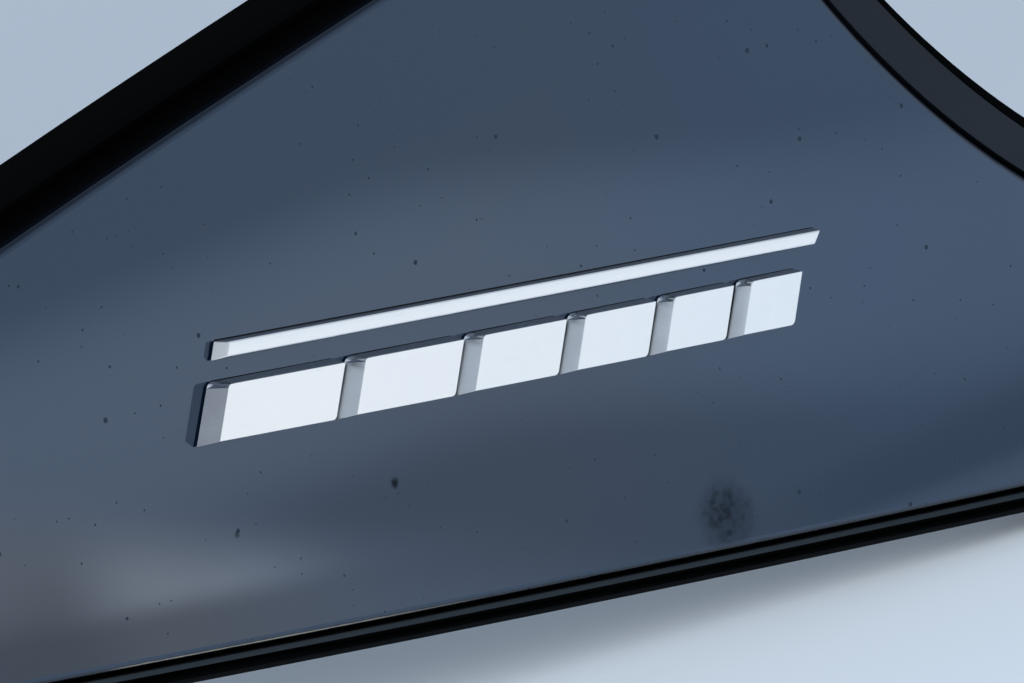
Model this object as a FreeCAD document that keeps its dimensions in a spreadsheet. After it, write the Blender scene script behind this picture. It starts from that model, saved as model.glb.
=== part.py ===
import FreeCAD, Part
import math
import os

import Sketcher
from FreeCAD import Placement, Rotation, Vector

# Rear quarter pillar panel of a coupe, right-hand side: a gloss outer skin on a ribbed carrier,
# with rubber seals on three edges, a chrome ornament and the clips and studs that hold it.
# Millimetres. +X is the car's front, +Z is up, -Y is outboard. The origin is where the round
# locator pin leaves its seat. "Depth" is measured square to the outer face, into the panel;
# "inset" is measured in the side view, from the panel's outline inwards.

# Driving dimensions: alias, value, what it is
DIMENSIONS = (
    ("lean", 16.0, "degrees that the outer face leans in at the origin"),
    ("section_radius", 1400.0, "outer face's radius, seen from the front"),
    ("plan_radius", 5200.0, "outer face's radius, seen from above"),
    ("widest_at", 300.0, "how far ahead of the origin the body is widest"),
    ("seat_depth", 17.0, "depth of the seats on the body, under the outer face"),
    ("belt_slope", 5.7, "degrees that the bottom edge drops towards the front"),
    ("belt_distance", 48.7, "origin to the bottom edge"),
    ("front_slope", 8.0, "degrees that the front edge leans back"),
    ("front_distance", 195.8, "origin to the front edge"),
    ("rear_slope", 17.0, "degrees that the rear edge leans forward"),
    ("rear_distance", 217.5, "origin to the rear edge"),
    ("roof_slope", 11.4, "degrees that the roof edge rises where it comes nearest to the origin"),
    ("roof_distance", 71.5, "origin to the roof edge"),
    ("roof_radius", 2500.0, "roof edge's arc"),
    ("window_slope", 30.5, "degrees from +X to the window edge where it comes nearest to the origin"),
    ("window_distance", 106.9, "origin to the window edge"),
    ("window_radius", 200.0, "window edge's arc"),
    ("rear_low_corner", 12.0, "corner radius in the outline"),
    ("rear_top_corner", 16.0, "corner radius in the outline"),
    ("top_corner", 6.0, "corner radius in the outline"),
    ("front_top_corner", 4.0, "corner radius in the outline"),
    ("front_low_corner", 5.0, "corner radius in the outline"),
    ("least_corner", 1.0, "smallest corner of an inset outline"),
    ("skin_wall", 2.6, "thickness of the skin and of its return wall"),
    ("return_depth", 11.0, "depth of the skin's return wall"),
    ("edge_round", 1.6, "radius along the skin's outer edge"),
    ("fit_gap", 0.3, "clearance between pieces that are glued or pushed together"),
    ("sheet_wall", 2.2, "thickness of the carrier's sheet"),
    ("rim_wall", 2.4, "thickness of the carrier's rim"),
    ("rim_depth", 13.0, "depth of the carrier's rim"),
    ("rim_spacing", 2.6, "gap between the rim and the inner wall"),
    ("inner_wall", 2.0, "thickness of the carrier's inner wall"),
    ("rib_wall", 1.8, "thickness of a rib"),
    ("rib_depth", 11.5, "depth that the ribs reach"),
    ("rib_pitch", 58.0, "distance between parallel ribs"),
    ("rib_angle", 58.0, "degrees between a rib and the horizontal"),
    ("flange_wall", 1.6, "thickness of the flanges that carry the seals"),
    ("gasket_height", 5.0, "height of the foam gasket"),
    ("seal_setback", 14.0, "how far the bottom seal stops short of the panel's ends"),
    ("flange_overrun", 4.5, "how far a flange runs on past its seal's end"),
    ("belt_flange", 4.4, "how far the flange stands out along the bottom edge"),
    ("roof_flange", 2.6, "how far the flange stands out along the roof edge"),
    ("window_flange", 3.6, "how far the flange stands out along the window edge"),
    ("seal_wall", 1.7, "thickness of a seal's legs"),
    ("seal_start", 0.5, "gap between the skin's return wall and a seal"),
    ("belt_width", 6.6, "width of the bottom seal"),
    ("belt_face", 9.0, "depth of the bottom seal's upper leg"),
    ("belt_lip_start", 2.9, "gap between the skin and the bottom seal's lip"),
    ("belt_lip_wall", 1.0, "thickness of the bottom seal's lip"),
    ("belt_lip_depth", 3.2, "depth of the lip's edge"),
    ("belt_fin_wall", 0.9, "thickness of the bottom seal's outer fin"),
    ("belt_fin_depth", 3.4, "depth of the outer fin's edge"),
    ("roof_width", 5.8, "width of the roof channel"),
    ("roof_face", 8.4, "depth of the roof channel's floor"),
    ("roof_lip_wall", 1.4, "thickness of the roof channel's outer lip"),
    ("roof_lip_depth", 3.6, "depth of the outer lip's edge"),
    ("moulding_start", 1.0, "gap between the skin and the window moulding"),
    ("moulding_face", 0.9, "depth of the moulding's face"),
    ("moulding_wall", 1.5, "thickness of the moulding's walls"),
    ("moulding_width", 10.4, "width of the window moulding at its widest, with its gap"),
    ("moulding_taper", 14.0, "how far the glass-side arc's centre lies from the window edge's"),
    ("moulding_turn", 35.0, "degrees from +X to the glass-side arc's centre"),
    ("lip_width", 2.6, "width of the glass lip"),
    ("lip_depth", 3.6, "depth of the glass lip's face"),
    ("lip_wall", 1.4, "thickness of the glass lip"),
    ("ornament_slope", 5.6, "degrees that the ornament drops towards the front"),
    ("ornament_lean", 20.0, "degrees that the blades and the bar's rear end lean forward"),
    ("ornament_rear", 83.5, "origin to the ornament's rear end"),
    ("bar_front", 82.0, "origin to the bar's front end"),
    ("bar_low", 7.1, "origin to the bar's lower edge"),
    ("bar_tall", 3.9, "height of the bar at its rear end"),
    ("bar_slim", 3.5, "height of the bar at its front end"),
    ("bar_point", 2.6, "length of the slanted front end of the bar"),
    ("bar_height", 3.2, "how far the bar stands off its tape"),
    ("blade_gap", 3.7, "gap between the bar and the blades under it"),
    ("blade_spacing", 4.0, "gap between two blades"),
    ("blade_length", 31.5, "length of the rearmost blade"),
    ("blade_shrink", 0.86, "length of each blade over the one behind it"),
    ("blade_tall", 12.2, "height of the rearmost blade"),
    ("blade_drop", 0.2, "how much lower each blade is than the one behind it"),
    ("blade_height", 5.0, "how far the rearmost blade stands off its tape"),
    ("blade_step", 0.32, "how much flatter each blade is than the one behind it"),
    ("blade_corner", 1.8, "radius of a blade's two round corners"),
    ("ornament_draft", 8.0, "degrees of draft on the ornament's walls"),
    ("tape_height", 0.4, "thickness of the ornament's foam tape"),
    ("tape_slack", 0.05, "clearance on each face of the tape"),
    ("tower_length", 21.0, "clip tower, along the car"),
    ("tower_width", 16.0, "clip tower, up the car"),
    ("tower_wall", 1.9, "thickness of a clip tower's walls"),
    ("tower_plate", 2.0, "thickness of a clip tower's slotted plate"),
    ("clip_neck", 3.0, "radius of a clip's neck"),
    ("clip_head", 10.8, "width of a clip's square head"),
    ("clip_head_wall", 1.4, "thickness of a clip's head"),
    ("clip_washer", 7.6, "radius of a clip's sealing washer"),
    ("washer_wall", 1.2, "thickness of a clip's sealing washer"),
    ("clip_bulge", 4.1, "radius of a clip's legs at their widest"),
    ("clip_length", 13.0, "length of a clip's shank"),
    ("clip_leg", 1.3, "thickness of a clip's bowed legs"),
    ("clip_leg_width", 2.2, "width of a clip's legs"),
    ("stud_radius", 3.0, "threaded stud"),
    ("stud_length", 14.0, "how far a stud stands off its seat"),
    ("stud_root", 3.6, "radius of a stud's knurled root inside its boss"),
    ("stud_bury", 4.5, "depth of a stud's root under its seat"),
    ("boss_radius", 7.2, "bosses of the studs and locators"),
    ("pin_radius", 4.0, "round locator pin"),
    ("pin_length", 10.0, "straight stretch of a locator pin"),
    ("pin_tip", 3.0, "length of a locator pin's tapered tip"),
    ("pin_tip_radius", 2.2, "end radius of a locator pin's tip"),
    ("blade_pin_flat", 5.6, "width across the flats of the two-way locator"),
    ("pad_length", 26.0, "foam pad, along the car"),
    ("pad_width", 15.0, "foam pad, up the car"),
    ("pad_height", 5.0, "thickness of a foam pad"),
    ("reach_out", 110.0, "how far the cutting prisms reach outboard"),
    ("reach_in", 70.0, "how far the cutting prisms reach inboard"),
    ("section_low", 8.0, "degrees under the horizontal where the face's section starts"),
    ("section_high", 25.0, "degrees where the face's section ends"),
    ("plan_sweep", 14.0, "degrees that the face's section is swept"),
)

BLADES = 6
# Overlap that a cutter gets past the face it cuts, and the span of a trimming block
OUTWARD = 1.0
TRIM_SPAN = 400.0
# How far off a face an edge may lie and still count as on it
ON_FACE = 0.002


class Term:
    """A size worked out from the sheet's cells: its number and the expression that binds it."""

    def __init__(self, number, text):
        self.number = float(number)
        self.text = text

    def __add__(self, other):
        other = term(other)
        return Term(self.number + other.number, f"({self.text} + {other.text})")

    def __sub__(self, other):
        other = term(other)
        return Term(self.number - other.number, f"({self.text} - {other.text})")

    def __mul__(self, other):
        other = term(other)
        return Term(self.number * other.number, f"({self.text} * {other.text})")

    def __truediv__(self, other):
        other = term(other)
        return Term(self.number / other.number, f"({self.text} / {other.text})")

    def __radd__(self, other):
        return term(other) + self

    def __rsub__(self, other):
        return term(other) - self

    def __rmul__(self, other):
        return term(other) * self

    def __neg__(self):
        return Term(-self.number, f"(0 - {self.text})")


def term(value):
    """A plain number as a Term; a Term as it is."""
    return value if isinstance(value, Term) else Term(value, f"({float(value):.9g})")


def sine(angle):
    return Term(math.sin(math.radians(angle.number)), f"sin({angle.text} * 1 deg)")


def cosine(angle):
    return Term(math.cos(math.radians(angle.number)), f"cos({angle.text} * 1 deg)")


def tangent(angle):
    return Term(math.tan(math.radians(angle.number)), f"tan({angle.text} * 1 deg)")


def arc_cosine(share):
    return Term(math.degrees(math.acos(share.number)), f"(acos({share.text}) / 1 deg)")


def root(value):
    return Term(math.sqrt(value.number), f"sqrt({value.text})")


def larger(one, other):
    one, other = term(one), term(other)
    return Term(max(one.number, other.number), f"max({one.text}; {other.text})")


class Sizes:
    """The spreadsheet; each driving dimension is an attribute, as a Term."""

    def __init__(self, document, table):
        sheet = document.addObject("Spreadsheet::Sheet", "Sizes")
        for row, (alias, value, note) in enumerate(table, start=1):
            sheet.set(f"A{row}", alias)
            sheet.set(f"B{row}", str(value))
            sheet.set(f"C{row}", note)
            sheet.setAlias(f"B{row}", alias)
            setattr(self, alias, Term(value, f"Sizes.{alias}"))


doc = FreeCAD.newDocument("pillar_panel")
size = Sizes(doc, DIMENSIONS)
doc.recompute()


def bind(item, name, value):
    """Binds one property of an object to the sheet."""
    item.setExpression(name, term(value).text)


def new(kind, name):
    return doc.addObject(kind, name)


# The outer face: a section arc swept about an upright axis, so that a face at any depth is exact

CENTRE_Z = -(size.section_radius * sine(size.lean))
RING_INSET = size.plan_radius - size.section_radius


def ring(depth, z):
    """Distance from the sweep's axis to the face at a depth and a height."""
    radius = size.section_radius - depth
    rise = term(z) - CENTRE_Z
    return RING_INSET + root(radius * radius - rise * rise)


AXIS_Y = root(ring(size.seat_depth, 0) * ring(size.seat_depth, 0) - size.widest_at * size.widest_at)
CENTRE_Y = AXIS_Y - RING_INSET


def face_y(x, z, depth):
    """Y of the face at a place in the side view, at a depth."""
    reach = ring(depth, z)
    along = term(x) - size.widest_at
    return AXIS_Y - root(reach * reach - along * along)


def outward_normal(x, z):
    """Unit normal of the outer face at a place in the side view."""
    turn = math.asin((size.widest_at.number - x) / ring(term(0), z).number)
    lean = math.asin((z - CENTRE_Z.number) / size.section_radius.number)
    return Vector(-math.sin(turn) * math.cos(lean), -math.cos(turn) * math.cos(lean), math.sin(lean))


# Sketches

SIDE_VIEW = Placement(Vector(0, 0, 0), Rotation(Vector(1, 0, 0), 90))


class Rules:
    """A sketch's constraints, added in one go; those with a value are bound to the sheet."""

    def __init__(self, sketch):
        self.sketch = sketch
        self.rules = []
        self.values = []

    def add(self, *parts):
        self.rules.append(Sketcher.Constraint(*parts))

    def size(self, name, value, *parts):
        value = term(value)
        turn = parts[0] == "Angle"
        rule = Sketcher.Constraint(*parts, math.radians(value.number) if turn else value.number)
        rule.Name = name
        self.rules.append(rule)
        self.values.append((name, value.text + " * 1 deg" if turn else value.text))

    def point(self, name, geometry, end, x, y):
        """Holds a point of the sketch at a pair of Terms."""
        self.size(name + "_across", x, "DistanceX", -1, 1, geometry, end)
        self.size(name + "_up", y, "DistanceY", -1, 1, geometry, end)

    def apply(self):
        self.sketch.addConstraint(self.rules)
        for name, text in self.values:
            self.sketch.setExpression(f"Constraints.{name}", text)


def arc_between(centre, radius, start, end):
    """The arc that runs anticlockwise from one point to another."""
    circle = Part.Circle(centre, Vector(0, 0, 1), radius)
    first = math.atan2(start.y - centre.y, start.x - centre.x)
    last = math.atan2(end.y - centre.y, end.x - centre.x)
    return Part.ArcOfCircle(circle, first, last + (2 * math.pi if last < first else 0))


def profile(name, corners, placement=SIDE_VIEW, body=None):
    """A closed sketch. Each corner is (x, y) or (x, y, radius, side), where a radius makes the
    stretch to the next corner an arc, bulging right (1) or left (-1) of the way along it."""
    if body is None:
        sketch = new("Sketcher::SketchObject", name)
        sketch.Placement = placement
    else:
        sketch = body.newObject("Sketcher::SketchObject", name)
    points = [Vector(term(c[0]).number, term(c[1]).number, 0) for c in corners]
    count = len(corners)
    edges, ends = [], []
    for index, corner in enumerate(corners):
        here, there = points[index], points[(index + 1) % count]
        if len(corner) == 2:
            edges.append(Part.LineSegment(here, there))
            ends.append((1, 2))
            continue
        radius, side = term(corner[2]).number, corner[3]
        chord = there - here
        right = Vector(chord.y, -chord.x, 0).normalize()
        centre = (here + there) * 0.5 - right * side * math.sqrt(radius**2 - (chord.Length / 2) ** 2)
        first, last = (here, there) if side > 0 else (there, here)
        edges.append(arc_between(centre, radius, first, last))
        ends.append((1, 2) if side > 0 else (2, 1))
    sketch.addGeometry(edges)
    rules = Rules(sketch)
    for index, corner in enumerate(corners):
        following = (index + 1) % count
        rules.add("Coincident", index, ends[index][1], following, ends[following][0])
        rules.point(f"corner{index}", index, ends[index][0], corner[0], corner[1])
        if len(corner) > 2:
            rules.size(f"radius{index}", corner[2], "Radius", index)
    rules.apply()
    return sketch


class Straight:
    """A straight edge of the outline: its outward normal's angle and its distance from the origin."""

    side = 1

    def __init__(self, angle, distance):
        self.angle, self.distance = angle, distance

    def inside(self, x, z):
        """Distance inside the edge and the direction inwards."""
        across = math.radians(self.angle.number)
        way = (math.cos(across), math.sin(across))
        return self.distance.number - way[0] * x - way[1] * z, (-way[0], -way[1])


class Round:
    """A round edge of the outline; side is 1 if the panel lies inside the circle, -1 outside."""

    def __init__(self, x, z, radius, side):
        self.x, self.z, self.radius, self.side = x, z, radius, side

    def inside(self, x, z):
        """Distance inside the edge and the direction inwards."""
        away_x, away_z = x - self.x.number, z - self.z.number
        away = math.hypot(away_x, away_z)
        way = (-self.side * away_x / away, -self.side * away_z / away)
        return self.side * (self.radius.number - away), way


def on_arc(edge, degrees):
    """The point of a round edge in a direction from its centre."""
    turn = math.radians(degrees)
    x = edge.x.number + edge.radius.number * math.cos(turn)
    return x, edge.z.number + edge.radius.number * math.sin(turn)


def arc_angle(edge, x, near=0):
    """Degrees from +X to where a strip outside a round edge comes to a place along the car: on the
    upper half of a circle that the panel lies inside, or the lower half of one that it lies outside."""
    share = (term(x) - edge.x) / (edge.radius + edge.side * term(near))
    return arc_cosine(share) if edge.side > 0 else 360 - arc_cosine(share)


WINDOW_REACH = size.window_distance + size.window_radius
ROOF_REACH = size.roof_radius - size.roof_distance
BELT = Straight(-(90 + size.belt_slope), size.belt_distance)
FRONT = Straight(size.front_slope, size.front_distance)
WINDOW = Round(
    WINDOW_REACH * cosine(size.window_slope), WINDOW_REACH * sine(size.window_slope), size.window_radius, -1
)
ROOF = Round(ROOF_REACH * sine(size.roof_slope), -ROOF_REACH * cosine(size.roof_slope), size.roof_radius, 1)
REAR = Straight(180 - size.rear_slope, size.rear_distance)
# Anticlockwise in the side view: each edge, the corner radius at its end, a point near that corner
OUTLINE = (
    (BELT, size.front_low_corner, (0, 0)),
    (FRONT, size.front_top_corner, on_arc(WINDOW, 250)),
    (WINDOW, size.top_corner, on_arc(WINDOW, 195)),
    (ROOF, size.rear_top_corner, on_arc(ROOF, 107)),
    (REAR, size.rear_low_corner, (0, 0)),
)


def meet(one, other, depth_one, depth_other, near):
    """The point that lies given distances inside two edges, found from a point near it."""
    x, z = near
    for _ in range(30):
        (gap_one, way_one), (gap_other, way_other) = one.inside(x, z), other.inside(x, z)
        miss_one, miss_other = depth_one - gap_one, depth_other - gap_other
        scale = way_one[0] * way_other[1] - way_one[1] * way_other[0]
        x += (miss_one * way_other[1] - miss_other * way_one[1]) / scale
        z += (miss_other * way_one[0] - miss_one * way_other[0]) / scale
    return x, z


def outline(name, inset):
    """The panel's outline, moved inwards, as a sketch whose every edge is bound to the sheet."""
    inset = term(inset)
    sketch = new("Sketcher::SketchObject", name)
    sketch.Placement = SIDE_VIEW
    corners = []
    for index, (edge, corner, near) in enumerate(OUTLINE):
        following = OUTLINE[(index + 1) % len(OUTLINE)][0]
        radius = larger(corner - inset, size.least_corner)
        depth = inset.number + radius.number
        x, z = meet(edge, following, depth, depth, near)
        ways = [one.inside(x, z)[1] for one in (edge, following)]
        touches = [Vector(x - radius.number * w[0], z - radius.number * w[1], 0) for w in ways]
        corners.append((radius, Vector(x, z, 0), touches))
    edges, ends = [], []
    for index, (edge, _, _) in enumerate(OUTLINE):
        start, end = corners[index - 1][2][1], corners[index][2][0]
        if isinstance(edge, Straight):
            edges.append(Part.LineSegment(start, end))
        else:
            centre = Vector(edge.x.number, edge.z.number, 0)
            radius = edge.radius.number - edge.side * inset.number
            first, last = (start, end) if edge.side > 0 else (end, start)
            edges.append(arc_between(centre, radius, first, last))
        ends.append((1, 2) if edge.side > 0 else (2, 1))
        radius, centre, touches = corners[index]
        edges.append(arc_between(centre, radius.number, *touches))
        ends.append((1, 2))
    sketch.addGeometry(edges)
    rules = Rules(sketch)
    for index in range(len(edges)):
        following = (index + 1) % len(edges)
        rules.add("Tangent", index, ends[index][1], following, ends[following][0])
    for index, (edge, _, _) in enumerate(OUTLINE):
        line = 2 * index
        rules.size(f"corner{index}", corners[index][0], "Radius", line + 1)
        if isinstance(edge, Straight):
            rules.size(f"edge{index}", edge.distance - inset, "Distance", -1, 1, line)
            rules.size(f"turn{index}", edge.angle + 90, "Angle", line)
        else:
            rules.size(f"edge{index}", edge.radius - edge.side * inset, "Radius", line)
            rules.point(f"centre{index}", line, 3, edge.x, edge.z)
    rules.apply()
    return sketch


def arc_strip(name, edge, near, far, first, last, far_edge=None):
    """A sketch of a strip outside a round edge, between two distances and two angles."""
    far_edge = far_edge or edge
    near_radius = edge.radius + edge.side * term(near)
    far_radius = far_edge.radius + far_edge.side * term(far)
    low, high = term(first), term(last)
    corners = (
        (edge.x + near_radius * cosine(low), edge.z + near_radius * sine(low), near_radius, 1),
        (edge.x + near_radius * cosine(high), edge.z + near_radius * sine(high)),
        (far_edge.x + far_radius * cosine(high), far_edge.z + far_radius * sine(high), far_radius, -1),
        (far_edge.x + far_radius * cosine(low), far_edge.z + far_radius * sine(low)),
    )
    return profile(name, corners)


def belt_strip(name, near, far, first, last):
    """A sketch of a strip under the bottom edge, between two distances and two places along it."""
    down = (-sine(size.belt_slope), -cosine(size.belt_slope))
    along = (cosine(size.belt_slope), -sine(size.belt_slope))
    corners = []
    for run, reach in ((first, near), (first, far), (last, far), (last, near)):
        run, out = term(run), size.belt_distance + term(reach)
        corners.append((down[0] * out + along[0] * run, down[1] * out + along[1] * run))
    return profile(name, corners)


# Places on the carrier's back

def place(x, edge, inset):
    """A place at a distance straight under the roof edge, or over the bottom edge."""
    x = term(x)
    if edge == "roof":
        run = x - ROOF.x
        return x, ROOF.z + root(ROOF.radius * ROOF.radius - run * run) - inset
    drop = size.belt_distance + x * sine(size.belt_slope)
    return x, inset - drop / cosine(size.belt_slope)


# Name, then x, edge and inset
CLIPS = {
    "belt_rear": place(-122, "belt", 20),
    "belt_middle": place(-48, "belt", 20),
    "belt_front": place(48, "belt", 21),
    "belt_nose": place(128, "belt", 22),
    "roof_rear": place(-108, "roof", 26),
    "roof_front": place(-32, "roof", 26),
}
STUDS = {
    "rear": place(11.5 - size.rear_distance, "belt", 26),
    "top": place(58, "roof", 26),
    "nose": place(size.front_distance - 16.5, "belt", 16.5),
}
TWO_WAY_PIN = place(-165, "belt", 37)
PADS = {
    "rear": place(-143, "roof", 24),
    "middle": place(14, "roof", 44),
    "front": place(88, "belt", 47),
}


# Solids

def prism(name, sketch):
    """A side-view sketch as a prism across the car."""
    item = new("Part::Extrusion", name)
    item.Base = sketch
    item.DirMode = "Custom"
    item.Dir = Vector(0, 1, 0)
    item.Solid = True
    bind(item, "LengthFwd", size.reach_in)
    bind(item, "LengthRev", size.reach_out)
    return item


def layer(name, near, far):
    """The shell between two depths, swept from its section; a negative depth is outboard."""
    low, high = 180 - size.section_high, 180 - size.section_low
    inner, outer = size.section_radius - term(far), size.section_radius - term(near)
    corners = (
        (CENTRE_Y + outer * cosine(low), CENTRE_Z + outer * sine(low), outer, 1),
        (CENTRE_Y + outer * cosine(high), CENTRE_Z + outer * sine(high)),
        (CENTRE_Y + inner * cosine(high), CENTRE_Z + inner * sine(high), inner, -1),
        (CENTRE_Y + inner * cosine(low), CENTRE_Z + inner * sine(low)),
    )
    across = Placement(Vector(size.widest_at.number, 0, 0), Rotation(Vector(1, 1, 1), 120))
    sketch = profile(name + "_section", corners, across)
    bind(sketch, "Placement.Base.x", size.widest_at)
    item = new("Part::Revolution", name)
    item.Source = sketch
    item.Axis = Vector(0, 0, 1)
    item.Base = Vector(size.widest_at.number, AXIS_Y.number, 0)
    bind(item, "Base.x", size.widest_at)
    bind(item, "Base.y", AXIS_Y)
    item.Symmetric = True
    item.Solid = True
    bind(item, "Angle", size.plan_sweep)
    return item


def common(name, one, other):
    item = new("Part::Common", name)
    item.Base, item.Tool = one, other
    return item


def cut(name, one, other):
    item = new("Part::Cut", name)
    item.Base, item.Tool = one, other
    return item


def fuse(name, items):
    item = new("Part::MultiFuse", name)
    item.Shapes = items
    item.Refine = True
    return item


def sheet_of(name, sketch, near, far):
    """The part of a side-view prism that lies between two depths."""
    return common(name, prism(name + "_prism", sketch), layer(name + "_layer", near, far))


def round_edges(name, item, radius, chosen):
    """Rounds the chosen edges of an item."""
    doc.recompute()
    result = new("Part::Fillet", name)
    result.Base = item
    picked = [i for i, edge in enumerate(item.Shape.Edges, start=1) if chosen(edge)]
    result.Edges = [(i, radius.number, radius.number) for i in picked]
    return result


def on_face(depth):
    """A test for edges that lie all along the face at a depth."""

    def test(edge):
        for share in (0.0, 0.3, 0.7, 1.0):
            spot = edge.valueAt(edge.FirstParameter + share * (edge.LastParameter - edge.FirstParameter))
            if abs(face_y(spot.x, spot.z, term(depth)).number - spot.y) > ON_FACE:
                return False
        return True

    return test


def box(name, x, z, length, width, y_from, y_to):
    """An upright box, centred on a place in the side view."""
    item = new("Part::Box", name)
    bind(item, "Length", length)
    bind(item, "Height", width)
    bind(item, "Width", term(y_to) - term(y_from))
    bind(item, "Placement.Base.x", term(x) - term(length) / 2)
    bind(item, "Placement.Base.y", y_from)
    bind(item, "Placement.Base.z", term(z) - term(width) / 2)
    return item


def stand(item, x, y, z):
    """Stands an item across the car: its own Z axis points inboard."""
    item.Placement = Placement(Vector(0, 0, 0), Rotation(Vector(1, 0, 0), -90))
    for axis, value in (("x", x), ("y", y), ("z", z)):
        bind(item, f"Placement.Base.{axis}", value)


def rod(name, x, z, radius, y_from, y_to, tip_radius=None):
    """A cylinder or cone across the car."""
    item = new("Part::Cylinder" if tip_radius is None else "Part::Cone", name)
    if tip_radius is None:
        bind(item, "Radius", radius)
    else:
        bind(item, "Radius1", radius)
        bind(item, "Radius2", tip_radius)
    bind(item, "Height", term(y_to) - term(y_from))
    stand(item, x, y_from, z)
    return item


FINISHED = {}


def finish(node, item):
    """Marks an object as one of the panel's pieces."""
    item.Label = node
    FINISHED[node] = item


# Gloss skin: a shallow tray with a rounded outer edge

def make_skin():
    blank = sheet_of("skin_blank", outline("skin_outline", 0), 0, size.return_depth)
    rounded = round_edges("skin_rounded", blank, size.edge_round, on_face(0))
    inside = outline("skin_inside_outline", size.skin_wall)
    hollow = sheet_of("skin_hollow", inside, size.skin_wall, size.return_depth + OUTWARD)
    finish("skin", cut("skin_tray", rounded, hollow))


# Carrier: ribbed tray behind the skin, with seal flanges, clip towers, bosses and locator pins

RIM_INSET = size.skin_wall + size.fit_gap
SHEET_TOP = size.skin_wall + size.fit_gap
SHEET_BACK = SHEET_TOP + size.sheet_wall
RIM_INSIDE = RIM_INSET + size.rim_wall
WALL_INSET = RIM_INSIDE + size.rim_spacing
WALL_INSIDE = WALL_INSET + size.inner_wall
FLANGE_TOP = size.rim_depth - size.flange_wall
BACK_SPACE = 60.0
SEAL_REAR = size.seal_setback - size.rear_distance
SEAL_FRONT = size.front_distance - size.seal_setback
TOP_CORNER = meet(WINDOW, ROOF, 0, 0, OUTLINE[2][2])


def seat_y(x, z):
    """Y of a seat on the body, at a place in the side view."""
    return face_y(x, z, size.seat_depth)


def carrier_tray():
    rim = outline("rim_outline", RIM_INSET)
    blank = sheet_of("carrier_blank", rim, SHEET_TOP, size.rim_depth)
    hollow = sheet_of(
        "carrier_hollow", outline("rim_inside_outline", RIM_INSIDE), SHEET_BACK, size.rim_depth + OUTWARD
    )
    return cut("carrier_tray", blank, hollow)


def carrier_inner_wall():
    outer = prism("inner_wall_outer", outline("inner_wall_outline", WALL_INSET))
    inner = prism("inner_wall_inner", outline("inner_wall_inside_outline", WALL_INSIDE))
    band = cut("inner_wall_band", outer, inner)
    return common("inner_wall", band, layer("inner_wall_layer", SHEET_BACK - size.fit_gap, size.rim_depth))


def carrier_ribs():
    """Two families of slanted ribs that cross, trimmed to the space inside the inner wall."""
    ribs = []
    reach = 2 * size.rear_distance.number
    count = int(size.rear_distance.number / size.rib_pitch.number) + 1
    for side, family in ((1, "forward"), (-1, "back")):
        for step in range(-count, count + 1):
            rib = new("Part::Box", f"rib_{family}")
            rib.Length = reach
            bind(rib, "Height", size.rib_wall)
            bind(rib, "Width", size.reach_out + size.reach_in)
            turn = Rotation(Vector(0, 1, 0), -side * size.rib_angle.number)
            across = Vector(step * size.rib_pitch.number / math.sin(math.radians(size.rib_angle.number)), 0, 0)
            corner = turn.multVec(Vector(-reach / 2, 0, -size.rib_wall.number / 2))
            rib.Placement = Placement(across + corner - Vector(0, size.reach_out.number, 0), turn)
            ribs.append(rib)
    lattice = fuse("rib_lattice", ribs)
    field = sheet_of(
        "rib_field",
        outline("rib_outline", WALL_INSET + size.fit_gap),
        SHEET_BACK - size.fit_gap,
        size.rib_depth,
    )
    return common("ribs", lattice, field)


def carrier_flanges():
    """Strips that stand out past the return wall and carry the seals."""
    root_inset = -(RIM_INSET + size.fit_gap)
    over = size.flange_overrun
    roof = [arc_angle(ROOF, x) for x in (TOP_CORNER[0], SEAL_REAR - over)]
    window = [arc_angle(WINDOW, x) for x in (TOP_CORNER[0], SEAL_FRONT + over)]
    strips = (
        (
            "belt",
            belt_strip("belt_flange_strip", root_inset, size.belt_flange, SEAL_REAR - over, SEAL_FRONT + over),
        ),
        ("roof", arc_strip("roof_flange_strip", ROOF, root_inset, size.roof_flange, *roof)),
        ("window", arc_strip("window_flange_strip", WINDOW, root_inset, size.window_flange, *window)),
    )
    return [sheet_of(f"{name}_flange", strip, FLANGE_TOP, size.rim_depth) for name, strip in strips]


def clip_tower(name, x, z):
    """A hollow tower with a keyhole slot, open towards the front for the clip's head."""
    seat = seat_y(x, z)
    base = seat - size.seat_depth
    tower = box(f"tower_{name}", x, z, size.tower_length, size.tower_width, base, seat)
    room = box(
        f"tower_room_{name}",
        term(x) + size.tower_wall,
        z,
        size.tower_length,
        size.tower_width - 2 * size.tower_wall,
        base,
        seat - size.tower_plate,
    )
    slot_width = 2 * (size.clip_neck + size.fit_gap)
    slot = box(
        f"tower_slot_{name}",
        term(x) + size.tower_length / 2,
        z,
        size.tower_length,
        slot_width,
        base,
        seat + OUTWARD,
    )
    hole = rod(f"tower_hole_{name}", x, z, size.clip_neck + size.fit_gap, base, seat + OUTWARD)
    space = fuse(f"tower_space_{name}", [room, slot, hole])
    return cut(f"tower_open_{name}", tower, space)


def stud_boss(name, x, z):
    """A round boss with a blind bore for a stud's root."""
    seat = seat_y(x, z)
    boss = rod(f"boss_{name}", x, z, size.boss_radius, seat - size.seat_depth, seat)
    play = size.tape_slack
    bore = rod(f"boss_bore_{name}", x, z, size.stud_root + play, seat - size.stud_bury - play, seat + OUTWARD)
    return cut(f"boss_open_{name}", boss, bore)


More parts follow.
